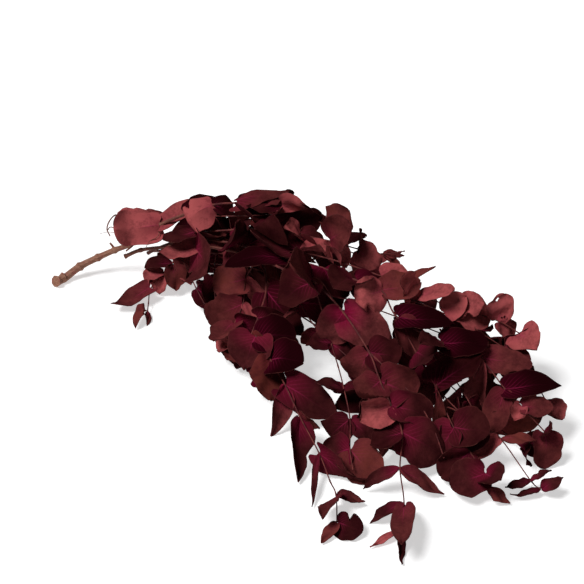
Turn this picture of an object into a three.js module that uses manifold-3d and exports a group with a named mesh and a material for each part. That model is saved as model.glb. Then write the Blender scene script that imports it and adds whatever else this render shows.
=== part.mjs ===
// A bunch of dried, dyed eucalyptus lying on a surface: five cut stems side by side, each with
// leafy side shoots that fan out to the front and the right. Millimetres, +Z up, +X along the
// length of the bunch, -Y towards the side that the fan opens to.
//
// Each stem grows as one piece, so it is one solid: wood, side shoots and leaves fused together.
// Leaves sit in opposite pairs. A leaf that would cross another stem is bent clear of it, and left
// out where it can't be.
import * as THREE from "three";
import { mergeVertices } from "three/addons/utils/BufferGeometryUtils.js";
import Module from "manifold-3d";

const wasm = await Module();
wasm.setup();

// ---- Driving dimensions, in millimetres and degrees ----
const LEAF_LENGTH = 52; // a full-grown leaf
const LEAF_WIDTH = 44;
const LEAF_THICKNESS = 0.8;
const CLEARANCE = 0.35; // between different stems
const OWN_CLEARANCE = 0.1; // between leaves of one stem
const NODE_HEIGHT = 1.6; // height of the ring of wood that a pair of leaves grows from
const ROOT_GUARD = 0.3; // how far off its own wood a leaf is tested
const ROOT_SUNK = 0.4; // how far a crossing leaf's root lies within the wood
const MOST_HIDDEN = 1; // of nine spots on a ruled leaf, how many may hide a hand-placed one
const SINK = 1.2; // how far a leaf may dip into the surface before it is pressed flat
const BOTTOM_CENTRE = [3.1, -135.1]; // middle of the bunch's footprint in the layout's own frame

// The layout is drawn on a sheet of SHEET x SHEET units, 1 unit to 1 mm at the middle of the
// bunch, as it looks from SIGHT_DISTANCE away and SIGHT_ANGLE above the surface. A layout point
// is [across, down, height above the surface].
const SHEET = 584;
const SIGHT_ANGLE = THREE.MathUtils.degToRad(40);
const SIGHT_DISTANCE = 1622;

// ---- Small vector helpers on plain [x, y, z] lists ----
const add = (a, b) => [a[0] + b[0], a[1] + b[1], a[2] + b[2]];
const sub = (a, b) => [a[0] - b[0], a[1] - b[1], a[2] - b[2]];
const scale = (a, k) => [a[0] * k, a[1] * k, a[2] * k];
const dot = (a, b) => a[0] * b[0] + a[1] * b[1] + a[2] * b[2];
const cross = (a, b) => [
  a[1] * b[2] - a[2] * b[1],
  a[2] * b[0] - a[0] * b[2],
  a[0] * b[1] - a[1] * b[0],
];
const size = (a) => Math.sqrt(dot(a, a));
const unit = (a) => scale(a, 1 / size(a));
// a turned by an angle about the unit axis k
const turn = (a, k, angle) =>
  add(
    add(scale(a, Math.cos(angle)), scale(cross(k, a), Math.sin(angle))),
    scale(k, dot(k, a) * (1 - Math.cos(angle))),
  );
const radians = (degrees) => (degrees * Math.PI) / 180;

// A seeded source of even draws between 0 and 1.
function draws(seed) {
  let state = seed >>> 0;
  return () => {
    state = (state + 0x6d2b79f5) >>> 0;
    let t = state;
    t = Math.imul(t ^ (t >>> 15), t | 1);
    t = (t ^ (t + Math.imul(t ^ (t >>> 7), t | 61))) >>> 0;
    return ((t ^ (t >>> 14)) >>> 0) / 4294967296;
  };
}

// ---- From the layout sheet to the part's frame ----
const TO_EYE = [0, -Math.cos(SIGHT_ANGLE), Math.sin(SIGHT_ANGLE)];
const SHEET_UP = [0, Math.sin(SIGHT_ANGLE), Math.cos(SIGHT_ANGLE)];
const CENTRE = [BOTTOM_CENTRE[0], BOTTOM_CENTRE[1], 0];

function place([across, down, height]) {
  const eye = scale(TO_EYE, SIGHT_DISTANCE);
  const sight = add(
    scale(TO_EYE, -SIGHT_DISTANCE),
    add([across - SHEET / 2, 0, 0], scale(SHEET_UP, SHEET / 2 - down)),
  );
  const reach = (height - eye[2]) / sight[2];
  return sub(add(eye, scale(sight, reach)), CENTRE);
}

// Where a point of the part lies on the layout sheet.
function onSheet(point) {
  const p = add(point, CENTRE);
  const depth = SIGHT_DISTANCE - dot(p, TO_EYE);
  return [
    SHEET / 2 + (p[0] * SIGHT_DISTANCE) / depth,
    SHEET / 2 - (dot(p, SHEET_UP) * SIGHT_DISTANCE) / depth,
  ];
}

// ---- The bunch's outline and the clear gaps through it, on the layout sheet ----
const OUTLINE = [
  [112, 214], [141, 203], [166, 203], [201, 191], [226, 190], [276, 186], [292, 191],
  [314, 206], [346, 208], [358, 226], [382, 248], [408, 251], [412, 268], [440, 281],
  [488, 303], [520, 297], [520, 324], [541, 336], [536, 362], [563, 385], [560, 420],
  [562, 450], [550, 469], [530, 469], [508, 462], [500, 486], [450, 488], [428, 462],
  [404, 452], [384, 452], [380, 482], [352, 488], [322, 470], [308, 448], [300, 482],
  [288, 470], [288, 440], [274, 438], [264, 392], [240, 372], [214, 346], [204, 318],
  [188, 300], [186, 284], [174, 292], [148, 292], [130, 276], [138, 258], [124, 247],
  [114, 247],
];
const GAPS = [
  [[300, 346], [328, 346], [352, 370], [346, 384], [318, 382], [298, 372]],
  [[250, 274], [286, 276], [268, 284]],
  [[293, 312], [314, 316], [306, 328], [296, 324]],
  [[362, 418], [386, 414], [378, 430], [366, 430]],
  [[480, 388], [490, 388], [488, 402], [481, 400]],
  [[284, 404], [298, 404], [306, 428], [290, 424]],
  [[310, 424], [322, 430], [322, 446], [312, 440]],
];

function inside([x, y], polygon) {
  let within = false;
  for (let i = 0, j = polygon.length - 1; i < polygon.length; j = i, i += 1) {
    const [xi, yi] = polygon[i];
    const [xj, yj] = polygon[j];
    if (yi > y !== yj > y && x < ((xj - xi) * (y - yi)) / (yj - yi) + xi) within = !within;
  }
  return within;
}

// ---- Shoots ----
// from: the shoot and point that a side shoot starts at, which is then its point 0. points: the
// leaf nodes along the shoot. wide: diameter at its two ends. leafy: first point with leaves.
// leaves: hand-placed ones, each [point, tip across, tip down, lean, width, roll, fold, bend,
// form]. lean is how far the tip lies above (or below) a leaf seen square on, roll turns the leaf
// about its length, fold and bend are its cross and long curves, in degrees. A pair that the list
// leaves open is filled by rule.
const STEMS = [
  {
    name: "stem_1_butt_and_crest",
    colour: 0x5a1f26,
    shoots: [
      {
        points: [
          [56, 283, 3.8], [64, 278.5, 3.8], [80, 266.5, 12], [98, 257.5, 19], [115, 250, 27],
          [136, 242, 40], [160, 225, 61], [186, 214, 78], [213, 205, 92], [237, 203, 101],
          [262, 204, 105], [282, 204, 106], [296, 201, 107],
        ],
        wide: [9, 1.6],
        leafy: 6,
        leaves: [
          [6, 113, 232, 0, 38, 0, 9, 10, "square"],
          [6, 200, 195, 0, 22, 30, 9, -15, "heart"],
          [8, 184, 222, 2, 34, 10, 6, 30, "square"],
          [8, 238, 218, -10, 34, 45, 11, 20, "round"],
          [9, 290, 191, 4, 24, 45, 11, 10, "heart"],
          [9, 268, 226, 0, 36, 50, 7, 20, "round"],
          [10, 284, 198, 0, 16, 40, 11, 20, "oval"],
          [11, 314, 212, 0, 26, -50, 9, 15, "heart"],
          [11, 247, 208, 0, 20, 45, 7, 15, "oval"],
        ],
      },
      {
        from: [0, 4],
        points: [
          [138, 243, 38], [166, 238, 52], [197, 233, 66], [232, 230, 78], [268, 229, 86],
          [300, 235, 91], [330, 241, 93], [358, 249, 92], [383, 254, 90], [405, 251, 91],
        ],
        wide: [3.4, 1.4],
        leafy: 3,
        leaves: [
          [3, 162, 238, 0, 32, 60, 6, 15, "round"],
          [3, 226, 236, 0, 32, 60, 6, 15, "round"],
          [6, 285, 226, 6, 26, 50, 11, 20, "oval"],
          [6, 318, 262, 6, 30, 60, 28, 40, "round"],
          [7, 354, 226, 8, 36, 20, 8, 30, "round"],
          [7, 344, 268, 0, 34, 50, 11, 40, "round"],
          [8, 380, 266, 0, 29, -25, 7, 25, "round"],
          [9, 404, 256, 0, 10, 30, 11, 10, "blade"],
          [9, 401, 268, -4, 12, 30, 11, 10, "blade"],
        ],
      },
      {
        from: [1, 4],
        points: [
          [262, 240, 80], [300, 251, 84], [340, 262, 84], [380, 276, 82], [418, 295, 78],
          [458, 308, 72], [498, 321, 64], [519, 333, 58],
        ],
        wide: [2.2, 1.5],
        leafy: 2,
        leaves: [
          [2, 248, 243, -4, 40, 45, 11, 20, "round"],
          [2, 344, 252, 6, 24, 60, 32, 10, "oval"],
          [4, 412, 281, 4, 30, 45, 8, 20, "round"],
          [4, 437, 283, 0, 14, 50, 11, 20, "oval"],
          [5, 456, 292, 0, 20, 40, 7, 15, "round"],
          [5, 407, 303, -2, 14, 30, 11, 20, "oval"],
          [6, 484, 303, 0, 27, 20, 7, 15, "round"],
          [6, 489, 324, 0, 34, 15, 7, 15, "round"],
          [7, 506, 294, 6, 25, 0, 4, 10, "square"],
          [7, 514, 335, 0, 20, 10, 6, 10, "round"],
          [8, 537, 350, 2, 34, 10, 4, 10, "heart"],
        ],
      },
      {
        from: [0, 7],
        points: [
          [214, 216, 84], [244, 216, 92], [274, 215, 96], [304, 218, 94], [332, 226, 88],
        ],
        wide: [2.0, 1.4],
        leafy: 1,
        leaves: [
          [3, 262, 231, 0, 36, 45, 7, 20, "round"],
          [5, 350, 210, 6, 34, 20, 8, 30, "round"],
        ],
      },
      {
        from: [0, 5],
        points: [
          [131, 230, 52], [124, 221, 58],
        ],
        wide: [2.0, 1.4],
        leafy: 1,
        leaves: [
          [1, 165, 212, 2, 24, 20, 7, 10, "round"],
          [2, 151, 211, 0, 23, 30, 7, 10, "heart"],
        ],
      },
    ],
  },
  {
    name: "stem_2_star_shoots",
    colour: 0x641f2c,
    shoots: [
      {
        points: [
          [125, 256.5, 19], [141, 250, 28], [168, 247, 42], [196, 246, 56], [228, 250, 68],
          [262, 260, 78], [290, 272, 84], [313, 281, 88], [343, 312, 74], [369, 352, 62],
          [380, 381, 54], [391, 405, 46], [402, 432, 36], [400, 468, 24], [404, 504, 12],
          [398, 531, 6],
        ],
        wide: [4.6, 1.5],
        leafy: 2,
        leaves: [
          [3, 160, 257, 0, 26, 50, 6, 15, "heart"],
          [3, 216, 277, 0, 48, 10, 7, 20, "round"],
          [7, 277, 303, 0, 44, 35, 11, 15, "heart"],
          [7, 290, 262, 6, 46, 50, 8, 10, "round"],
          [8, 322, 341, 0, 40, -15, 7, 20, "round"],
          [8, 389, 341, 0, 38, -15, 7, 20, "round"],
          [9, 354, 386, 0, 40, 10, 7, 10, "round"],
          [9, 405, 359, 0, 36, 20, 7, 10, "round"],
          [10, 360, 399, 0, 36, 10, 7, 15, "round"],
          [10, 423, 400, 2, 44, 10, 7, 10, "heart"],
          [11, 360, 422, 2, 34, 20, 11, 20, "oval"],
          [11, 432, 418, 0, 34, 30, 11, 20, "round"],
          [12, 371, 446, 0, 34, 50, 11, 20, "oval"],
          [12, 445, 456, 0, 42, 10, 7, 10, "round"],
          [13, 361, 489, -2, 13, 40, 11, 20, "blade"],
          [13, 442, 496, -2, 18, 40, 11, 10, "blade"],
          [14, 368, 523, -6, 14, 50, 11, 30, "blade"],
          [14, 402, 549, -4, 22, 15, 14, 10, "oval"],
          [15, 370, 548, -4, 7, 40, 11, 10, "blade"],
          [15, 401, 565, -3, 11, 40, 11, 10, "blade"],
        ],
      },
      {
        from: [0, 7],
        points: [
          [323, 314, 66], [331, 343, 50], [338, 366, 40], [344, 389, 30], [350, 419, 22],
          [350, 449, 18], [353, 470, 12],
        ],
        wide: [1.9, 1.5],
        leafy: 2,
        leaves: [
          [2, 301, 339, 2, 20, 30, 11, 20, "oval"],
          [2, 353, 363, -2, 22, 30, 11, 20, "round"],
          [4, 315, 383, 0, 20, 60, 11, 20, "oval"],
          [4, 372, 384, 0, 20, 60, 11, 20, "oval"],
          [5, 319, 446, 2, 30, 15, 8, 20, "oval"],
          [5, 376, 449, 0, 24, 40, 11, 20, "oval"],
          [6, 324, 457, 4, 34, 15, 6, 10, "round"],
          [6, 376, 482, 2, 39, 5, 6, 10, "round"],
        ],
      },
      {
        from: [0, 9],
        points: [
          [395, 377, 54], [418, 402, 44], [434, 430, 34], [444, 458, 24],
        ],
        wide: [1.9, 1.4],
        leafy: 1,
        leaves: [],
      },
      {
        from: [0, 6],
        points: [
          [300, 302, 64], [318, 330, 52], [352, 362, 42], [372, 396, 34], [384, 428, 24],
        ],
        wide: [1.9, 1.4],
        leafy: 1,
        leaves: [],
      },
    ],
  },
  {
    name: "stem_3_right_hand_shoots",
    colour: 0x5e1c22,
    shoots: [
      {
        points: [
          [148, 253, 21], [172, 243, 44], [206, 240, 58], [245, 246, 71], [285, 257, 80],
          [322, 268, 86], [355, 280, 89], [382, 291, 89], [398, 318, 79], [441, 343, 69],
          [479, 358, 60], [505, 389, 48], [522, 407, 41], [545, 432, 29],
        ],
        wide: [3.8, 1.5],
        leafy: 2,
        leaves: [
          [2, 168, 247, 0, 30, 60, 6, 15, "round"],
          [2, 234, 250, 0, 30, 60, 6, 15, "round"],
          [4, 222, 262, -4, 32, 35, 7, 20, "round"],
          [6, 334, 286, 0, 42, 35, 11, 30, "round"],
          [7, 354, 299, 2, 36, 10, 6, 10, "round"],
          [7, 420, 283, 8, 32, 25, 7, 10, "round"],
          [8, 420, 361, 2, 28, 20, 11, 20, "oval"],
          [8, 455, 323, 2, 32, 35, 7, 10, "heart"],
          [9, 421, 342, 4, 26, 40, 11, 30, "round"],
          [9, 488, 346, 2, 36, 45, 11, 20, "round"],
          [10, 478, 410, 4, 26, 30, 16, 20, "oval"],
          [10, 532, 366, 2, 30, 25, 7, 20, "round"],
          [11, 562, 385, 2, 28, 35, 11, 20, "heart"],
          [11, 492, 436, 4, 28, 30, 11, 20, "oval"],
          [12, 514, 421, 0, 20, 20, 32, 20, "heart"],
          [12, 553, 408, 2, 22, 30, 11, 20, "round"],
          [13, 546, 470, 0, 30, 10, 6, 20, "round"],
          [13, 552, 431, 2, 18, 40, 11, 20, "oval"],
        ],
      },
      {
        from: [0, 8],
        points: [
          [416, 352, 60], [436, 386, 48], [460, 412, 40], [483, 428, 33], [500, 438, 28],
          [531, 481, 11], [541, 489, 8],
        ],
        wide: [1.9, 1.4],
        leafy: 1,
        leaves: [
          [4, 438, 448, 0, 38, 25, 11, 20, "round"],
          [5, 466, 463, 2, 18, 30, 16, 20, "oval"],
          [5, 537, 440, 4, 14, 40, 11, 10, "blade"],
          [6, 505, 488, 2, 10, 50, 11, 10, "blade"],
          [6, 551, 469, 2, 9, 60, 11, 10, "blade"],
          [7, 564, 478, 2, 14, 30, 11, 10, "blade"],
          [7, 510, 500, 0, 9, 60, 11, 10, "blade"],
        ],
      },
      {
        from: [1, 2],
        points: [
          [446, 408, 43], [454, 428, 37], [470, 452, 27], [485, 474, 18], [487, 489, 12],
        ],
        wide: [1.8, 1.4],
        leafy: 1,
        leaves: [
          [2, 490, 432, 4, 40, 25, 14, 10, "round"],
          [2, 432, 462, 0, 40, 30, 11, 10, "round"],
          [3, 440, 477, 0, 34, 15, 7, 20, "round"],
          [4, 450, 486, 2, 36, 20, 11, 20, "round"],
          [4, 502, 481, 2, 26, 20, 7, 20, "round"],
          [5, 509, 504, -4, 12, 30, 11, 10, "blade"],
        ],
      },
      {
        from: [0, 7],
        points: [
          [412, 300, 78], [445, 314, 68], [476, 330, 58], [504, 348, 48],
        ],
        wide: [1.9, 1.4],
        leafy: 1,
        leaves: [
          [1, 400, 270, 4, 26, 40, 11, 20, "round"],
          [2, 466, 296, 4, 28, 30, 11, 20, "round"],
        ],
      },
      {
        from: [0, 8],
        points: [
          [424, 346, 60], [449, 372, 50], [468, 400, 40], [480, 426, 30],
        ],
        wide: [1.9, 1.4],
        leafy: 1,
        leaves: [],
      },
      {
        from: [0, 10],
        points: [
          [505, 364, 50], [530, 376, 42], [548, 404, 32],
        ],
        wide: [1.9, 1.4],
        leafy: 1,
        leaves: [
          [3, 562, 420, 2, 22, 30, 11, 20, "round"],
        ],
      },
    ],
  },
  {
    name: "stem_4_front_shoots",
    colour: 0x521a22,
    shoots: [
      {
        points: [
          [150, 251, 14], [177, 251, 32], [216, 253, 50], [258, 259, 62], [266, 290, 54],
          [258, 318, 46], [256, 336, 42], [270, 359, 36], [285, 385, 32], [300, 417, 26],
          [319, 453, 18], [330, 481, 12], [336, 495, 9], [337, 522, 5],
        ],
        wide: [3.4, 1.5],
        leafy: 1,
        leaves: [
          [1, 186, 288, 2, 24, 40, 14, 20, "oval"],
          [1, 157, 264, 0, 26, 50, 11, 20, "oval"],
          [3, 272, 262, 10, 14, 50, 11, 20, "oval"],
          [3, 280, 291, 0, 18, 40, 11, 20, "oval"],
          [6, 297, 336, 6, 40, 20, 14, 20, "round"],
          [6, 243, 370, 2, 44, 20, 11, 20, "heart"],
          [7, 303, 361, 0, 44, 30, 11, 20, "round"],
          [8, 273, 438, 6, 19, -25, 14, 10, "oval"],
          [8, 338, 418, 2, 38, 20, 8, 15, "heart"],
          [9, 297, 483, 2, 24, -25, 16, 15, "oval"],
          [10, 313, 508, 0, 8, 30, 16, 10, "blade"],
          [10, 365, 489, 0, 26, -25, 8, 10, "heart"],
          [12, 322, 518, 2, 20, 40, 16, 20, "oval"],
          [12, 367, 505, 2, 12, 50, 16, 10, "blade"],
          [13, 321, 544, 0, 12, 30, 11, 10, "oval"],
          [13, 363, 532, 2, 26, 10, 6, 20, "round"],
        ],
      },
      {
        from: [0, 3],
        points: [
          [246, 279, 52], [243, 304, 42], [235, 323, 32], [234, 339, 26], [238, 356, 16],
        ],
        wide: [1.8, 1.4],
        leafy: 1,
        leaves: [
          [1, 213, 288, 0, 40, 15, 7, 20, "round"],
          [1, 279, 309, 2, 22, -35, 13, 20, "oval"],
          [2, 205, 321, 0, 34, 0, 6, 15, "square"],
          [2, 262, 329, 4, 13, 25, 11, 10, "oval"],
          [3, 213, 343, 0, 30, 40, 11, 20, "round"],
          [4, 252, 341, 4, 20, 30, 11, 20, "round"],
          [4, 216, 349, 0, 26, 40, 11, 20, "round"],
          [5, 240, 371, 0, 14, 30, 11, 20, "oval"],
          [5, 226, 360, 0, 20, 40, 11, 20, "round"],
        ],
      },
      {
        from: [0, 1],
        points: [
          [172, 264, 28], [164, 272, 20], [151, 288, 11], [148.5, 303, 7], [147.5, 312, 5],
        ],
        wide: [1.8, 1.4],
        leafy: 1,
        leaves: [
          [1, 139, 265, 2, 14, 30, 11, 30, "oval"],
          [1, 176, 291, 0, 24, 30, 11, 20, "oval"],
          [2, 134, 282, 4, 18, 40, 16, 20, "oval"],
          [2, 158, 295, 0, 20, 30, 11, 20, "oval"],
          [3, 110, 313, 0, 22, 30, 14, 10, "heart"],
          [4, 134, 327, 0, 13, 30, 11, 50, "oval"],
          [5, 149, 326, 0, 8, 30, 11, 10, "blade"],
        ],
      },
      {
        from: [0, 1],
        points: [
          [187, 268, 26], [196, 288, 20], [208, 310, 14],
        ],
        wide: [1.9, 1.4],
        leafy: 1,
        leaves: [],
      },
      {
        from: [0, 2],
        points: [
          [214, 276, 42], [216, 302, 34], [224, 328, 24], [230, 348, 16],
        ],
        wide: [1.9, 1.4],
        leafy: 1,
        leaves: [],
      },
      {
        from: [0, 5],
        points: [
          [250, 338, 36], [244, 356, 28], [252, 376, 20],
        ],
        wide: [1.9, 1.4],
        leafy: 1,
        leaves: [],
      },
    ],
  },
  {
    name: "stem_5_under_shoots",
    colour: 0x48161e,
    shoots: [
      {
        points: [
          [158, 254, 9], [200, 262, 20], [230, 276, 26], [275, 300, 28], [315, 325, 28],
          [356, 352, 24], [380, 390, 20], [390, 430, 13],
        ],
        wide: [3.4, 1.4],
        leafy: 1,
        leaves: [[1, 188, 290, 4, 36, 20, 11, 20, "round"]],
      },
      {
        from: [0, 0],
        points: [
          [185, 241, 24], [222, 228, 40], [262, 228, 46], [300, 234, 44], [336, 246, 38],
          [370, 260, 30],
        ],
        wide: [2.4, 1.5],
        leafy: 1,
        leaves: [
          [4, 322, 252, 0, 34, 20, 7, 20, "round"],
          [5, 326, 273, 0, 32, 20, 7, 20, "round"],
          [6, 357, 286, 0, 36, 20, 7, 20, "round"],
        ],
      },
      {
        from: [0, 1],
        points: [
          [250, 268, 30], [300, 286, 30], [350, 300, 28], [400, 318, 26], [445, 335, 22],
          [485, 352, 16],
        ],
        wide: [2.2, 1.5],
        leafy: 1,
        leaves: [
          [4, 436, 297, 0, 34, 20, 7, 20, "round"],
        ],
      },
      {
        from: [0, 1],
        points: [
          [206, 280, 22], [230, 300, 24], [252, 322, 21], [270, 350, 17], [284, 380, 13],
          [296, 412, 8],
        ],
        wide: [2.0, 1.4],
        leafy: 1,
        leaves: [],
      },
      {
        from: [2, 2],
        points: [
          [392, 342, 27], [430, 368, 24], [462, 396, 19], [492, 422, 13], [520, 446, 8],
        ],
        wide: [1.9, 1.4],
        leafy: 1,
        leaves: [[2, 424, 408, 0, 36, 10, 7, 20, "round"]],
      },
    ],
  },
];

// ---- Leaf forms ----
// broad: where along the leaf it is widest. point: how sharply it ends. lobe: how far its two
// base lobes reach back past the stem, as a share of its length.
const FORMS = {
  round: { broad: 0.42, point: 0.5, tip: 0.1, lobe: 0.12 },
  heart: { broad: 0.34, point: 0.5, tip: 0.6, lobe: 0.14 },
  square: { broad: 0.5, point: 0.34, tip: 0.0, lobe: 0.1 },
  oval: { broad: 0.42, point: 0.6, tip: 0.4, lobe: 0.05 },
  blade: { broad: 0.4, point: 0.85, tip: 0.5, lobe: 0.02 },
};

function halfWidth(form, s) {
  const q = s ** (Math.log(0.5) / Math.log(form.broad));
  return Math.max(0, 4 * q * (1 - q)) ** (form.point + form.tip * s * s);
}

// A leaf's middle surface at s along it (0 at the stem, 1 at the tip) and t across it (-1 to 1).
function leafPoint(leaf, s, t) {
  const form = FORMS[leaf.form];
  const half = (leaf.width / 2) * halfWidth(form, s);
  const bend = leaf.bend * s;
  const along = add(scale(leaf.along, Math.cos(bend)), scale(leaf.face, -Math.sin(bend)));
  const face = add(scale(leaf.face, Math.cos(bend)), scale(leaf.along, Math.sin(bend)));
  const curl = leaf.fold * (0.5 + 0.8 * Math.abs(t));
  const twist = leaf.twist * s;
  const side = add(scale(leaf.side, Math.cos(twist)), scale(face, Math.sin(twist)));
  const lift = add(scale(face, Math.cos(twist)), scale(leaf.side, -Math.sin(twist)));
  const arc = Math.abs(leaf.bend) < 1e-3 ? leaf.length * s : (leaf.length * Math.sin(bend)) / leaf.bend;
  const drop =
    Math.abs(leaf.bend) < 1e-3 ? 0 : (leaf.length * (1 - Math.cos(bend))) / leaf.bend;
  const back = leaf.lobes * form.lobe * leaf.length * t * t * (1 - s) ** 4 * halfWidth(form, s);
  const wave = leaf.wave * half * t * t * Math.sin(leaf.phase + 5 * s + Math.sign(t));
  let p = add(leaf.base, add(scale(leaf.along, arc), scale(leaf.face, -drop)));
  p = add(p, scale(side, t * half * Math.cos(curl)));
  p = add(p, scale(lift, Math.abs(t) * half * Math.sin(curl) + wave));
  return add(p, scale(along, -back));
}

// ---- Growing the leaves ----
const STANCE = radians(58); // a leaf's angle from its shoot
const LEVELLED = 0.8; // how strongly a ruled leaf is turned to lie level
const SMALLEST_REACH = 0.8; // a hand-placed leaf is at least this share of its width long
// Poses of a hand-placed leaf: every depth along the line of sight for each roll about its length.
// Each roll is tried clear of all else first, then crossing the leaf's own stem. The last ones
// are smaller.
const DEPTHS = [0, 3, -3, 6, -6, 10, -10, 15, -15, 20, -20, 26, -26, 33];
const ROLLS = [
  ...[0, 14, -14, 28, -28, 45, -45].flatMap((roll) => [
    { roll, share: 1, crosses: false },
    { roll, share: 1, crosses: true },
  ]),
  ...[0, 20, -20, 45, -45, 65, -65].map((roll) => ({ roll, share: 0.8, crosses: true })),
];
// Poses of a ruled leaf: swung further and further from the first one, then again when smaller.
const SWINGS = 45;
const SMALLER = [1, 0.75, 0.55];
const SWING = { first: 5, step: 1.1, way: 2.4, yaw: 0.7, roll: 1.7 };

// The base-to-tip line and the face of a leaf become its frame, bent so that the tip stays put.
function poseLeaf(base, chord, face, look) {
  const length = size(chord);
  const c = unit(chord);
  const n = unit(sub(face, scale(c, dot(face, c))));
  const half = look.bend / 2;
  return {
    base,
    along: add(scale(c, Math.cos(half)), scale(n, Math.sin(half))),
    face: sub(scale(n, Math.cos(half)), scale(c, Math.sin(half))),
    side: cross(n, c),
    length: Math.abs(half) < 1e-3 ? length : (length * half) / Math.sin(half),
    ...look,
  };
}

// The same leaf in its k-th pose.
function bentLeaf(seedling, k) {
  const c = unit(seedling.chord);
  const look = { ...seedling.look };
  if (seedling.byHand) {
    const { roll, share } = ROLLS[Math.floor(k / DEPTHS.length)];
    const deeper = scale(seedling.sight, DEPTHS[k % DEPTHS.length]);
    const face = turn(seedling.face, c, radians(roll));
    look.width *= share;
    look.lobes = share < 1 ? 0 : 1;
    return poseLeaf(seedling.base, scale(add(seedling.chord, deeper), share), face, look);
  }
  const swing = k % SWINGS;
  const reach = swing === 0 ? 0 : radians(SWING.first + SWING.step * swing);
  const way = swing * SWING.way;
  const side = unit(cross(seedling.face, c));
  const lift = reach * Math.cos(way);
  const yaw = SWING.yaw * reach * Math.sin(way);
  const roll = reach * Math.sin(SWING.roll * way);
  const spin = (v) => turn(turn(turn(v, c, roll), side, lift), seedling.face, yaw);
  const share = SMALLER[Math.floor(k / SWINGS)];
  look.width *= share;
  return poseLeaf(seedling.base, scale(spin(seedling.chord), share), spin(seedling.face), look);
}

// The points of a shoot, each with its own frame: ahead along the wood, level and upward.
function shootFrames(stem, shoot) {
  const start = shoot.from ? [stem.shoots[shoot.from[0]].points[shoot.from[1]]] : [];
  const points = [...start, ...shoot.points].map(place);
  return points.map((at, i) => {
    const before = points[Math.max(0, i - 1)];
    const after = points[Math.min(points.length - 1, i + 1)];
    const ahead = unit(sub(after, before));
    const level = unit(cross([0, 0, 1], ahead));
    return { at, ahead, level, upward: cross(ahead, level) };
  });
}

function handLeaf(frame, row, draw) {
  const [, across, down, lean, width, roll, fold, bend, form] = row;
  const [x0, y0] = onSheet(frame.at);
  const rise = (y0 - down) * Math.cos(SIGHT_ANGLE) + lean;
  const chord = sub(place([across, down, Math.max(1.5, frame.at[2] + rise)]), frame.at);
  const c = unit(chord);
  const square = unit(sub(TO_EYE, scale(c, dot(TO_EYE, c))));
  const face = turn(square, c, radians(roll) * (across < x0 ? 1 : -1));
  const look = { width, fold: radians(fold), bend: radians(bend), wave: 0.1, form };
  look.twist = radians(12) * (draw() - 0.5);
  look.phase = 6.28 * draw();
  const tip = add(frame.at, chord);
  const sight = unit(sub(sub(scale(TO_EYE, SIGHT_DISTANCE), CENTRE), tip));
  const short = Math.max(0, (SMALLEST_REACH * width) ** 2 - dot(chord, chord));
  const deeper = form === "blade" ? 0 : Math.sqrt(short) * (lean < 0 ? -1 : 1);
  return { byHand: true, base: frame.at, chord: add(chord, scale(sight, deeper)), face, sight, look };
}

function ruledLeaf(frame, out, vigour, draw) {
  const stance = STANCE + 0.5 * (draw() - 0.5);
  const length = LEAF_LENGTH * vigour * (0.8 + 0.3 * draw());
  const c = add(scale(frame.ahead, Math.cos(stance)), scale(out, Math.sin(stance)));
  const square = sub(scale(frame.ahead, Math.sin(stance)), scale(out, Math.cos(stance)));
  const face = unit(add(square, [0, 0, LEVELLED]));
  const look = {
    width: LEAF_WIDTH * vigour * (0.75 + 0.3 * draw()),
    fold: radians(-4 + 20 * draw()),
    bend: radians(-8 + 38 * draw()),
    twist: radians(30) * (draw() - 0.5),
    wave: 0.12,
    phase: 6.28 * draw(),
    form: draw() < 0.6 ? "round" : "heart",
    lobes: 1,
  };
  const chord = scale(unit(add(c, [0, 0, -0.15])), length);
  return { byHand: false, base: frame.at, chord, face, look };
}

// All leaves of a shoot before any is bent clear. A pair has one leaf on each side of the wood,
// and each pair stands a quarter turn from the one before it.
function seedlings(shoot, frames, seed) {
  const list = [];
  for (let i = shoot.leafy; i < frames.length; i += 1) {
    const draw = draws(seed * 1009 + i * 31 + 7);
    const frame = frames[i];
    const pair = shoot.leaves.filter((row) => row[0] === i).map((row) => handLeaf(frame, row, draw));
    for (const leaf of pair) {
      leaf.out = unit(sub(leaf.chord, scale(frame.ahead, dot(leaf.chord, frame.ahead))));
    }
    const azimuth = (i * Math.PI) / 2 + 0.6 * (draw() - 0.5) + seed;
    const first = add(scale(frame.level, Math.cos(azimuth)), scale(frame.upward, Math.sin(azimuth)));
    const vigour = 1 - 0.4 * Math.max(0, (i - shoot.leafy) / frames.length - 0.3);
    while (pair.length < 2) {
      const out = pair.length === 1 ? scale(pair[0].out, -1) : first;
      pair.push({ ...ruledLeaf(frame, out, vigour, draw), out });
    }
    list.push(...pair.map((leaf) => ({ ...leaf, point: i })));
  }
  return list;
}

// ---- Solids ----
const ROWS_BY_HAND = [0.14, 0.45, 0.8];
const ROWS_BY_RULE = [0.26, 0.72];

// A closed solid from points and triangles, as a manifold-3d body.
function solidOf(points, triangles) {
  const geometry = new THREE.BufferGeometry();
  geometry.setAttribute("position", new THREE.Float32BufferAttribute(points.flat(), 3));
  geometry.setIndex(triangles.flat());
  const merged = mergeVertices(geometry, 1e-4);
  return new wasm.Manifold(
    new wasm.Mesh({
      numProp: 3,
      vertProperties: merged.attributes.position.array,
      triVerts: new Uint32Array(merged.index.array),
    }),
  );
}

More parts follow.
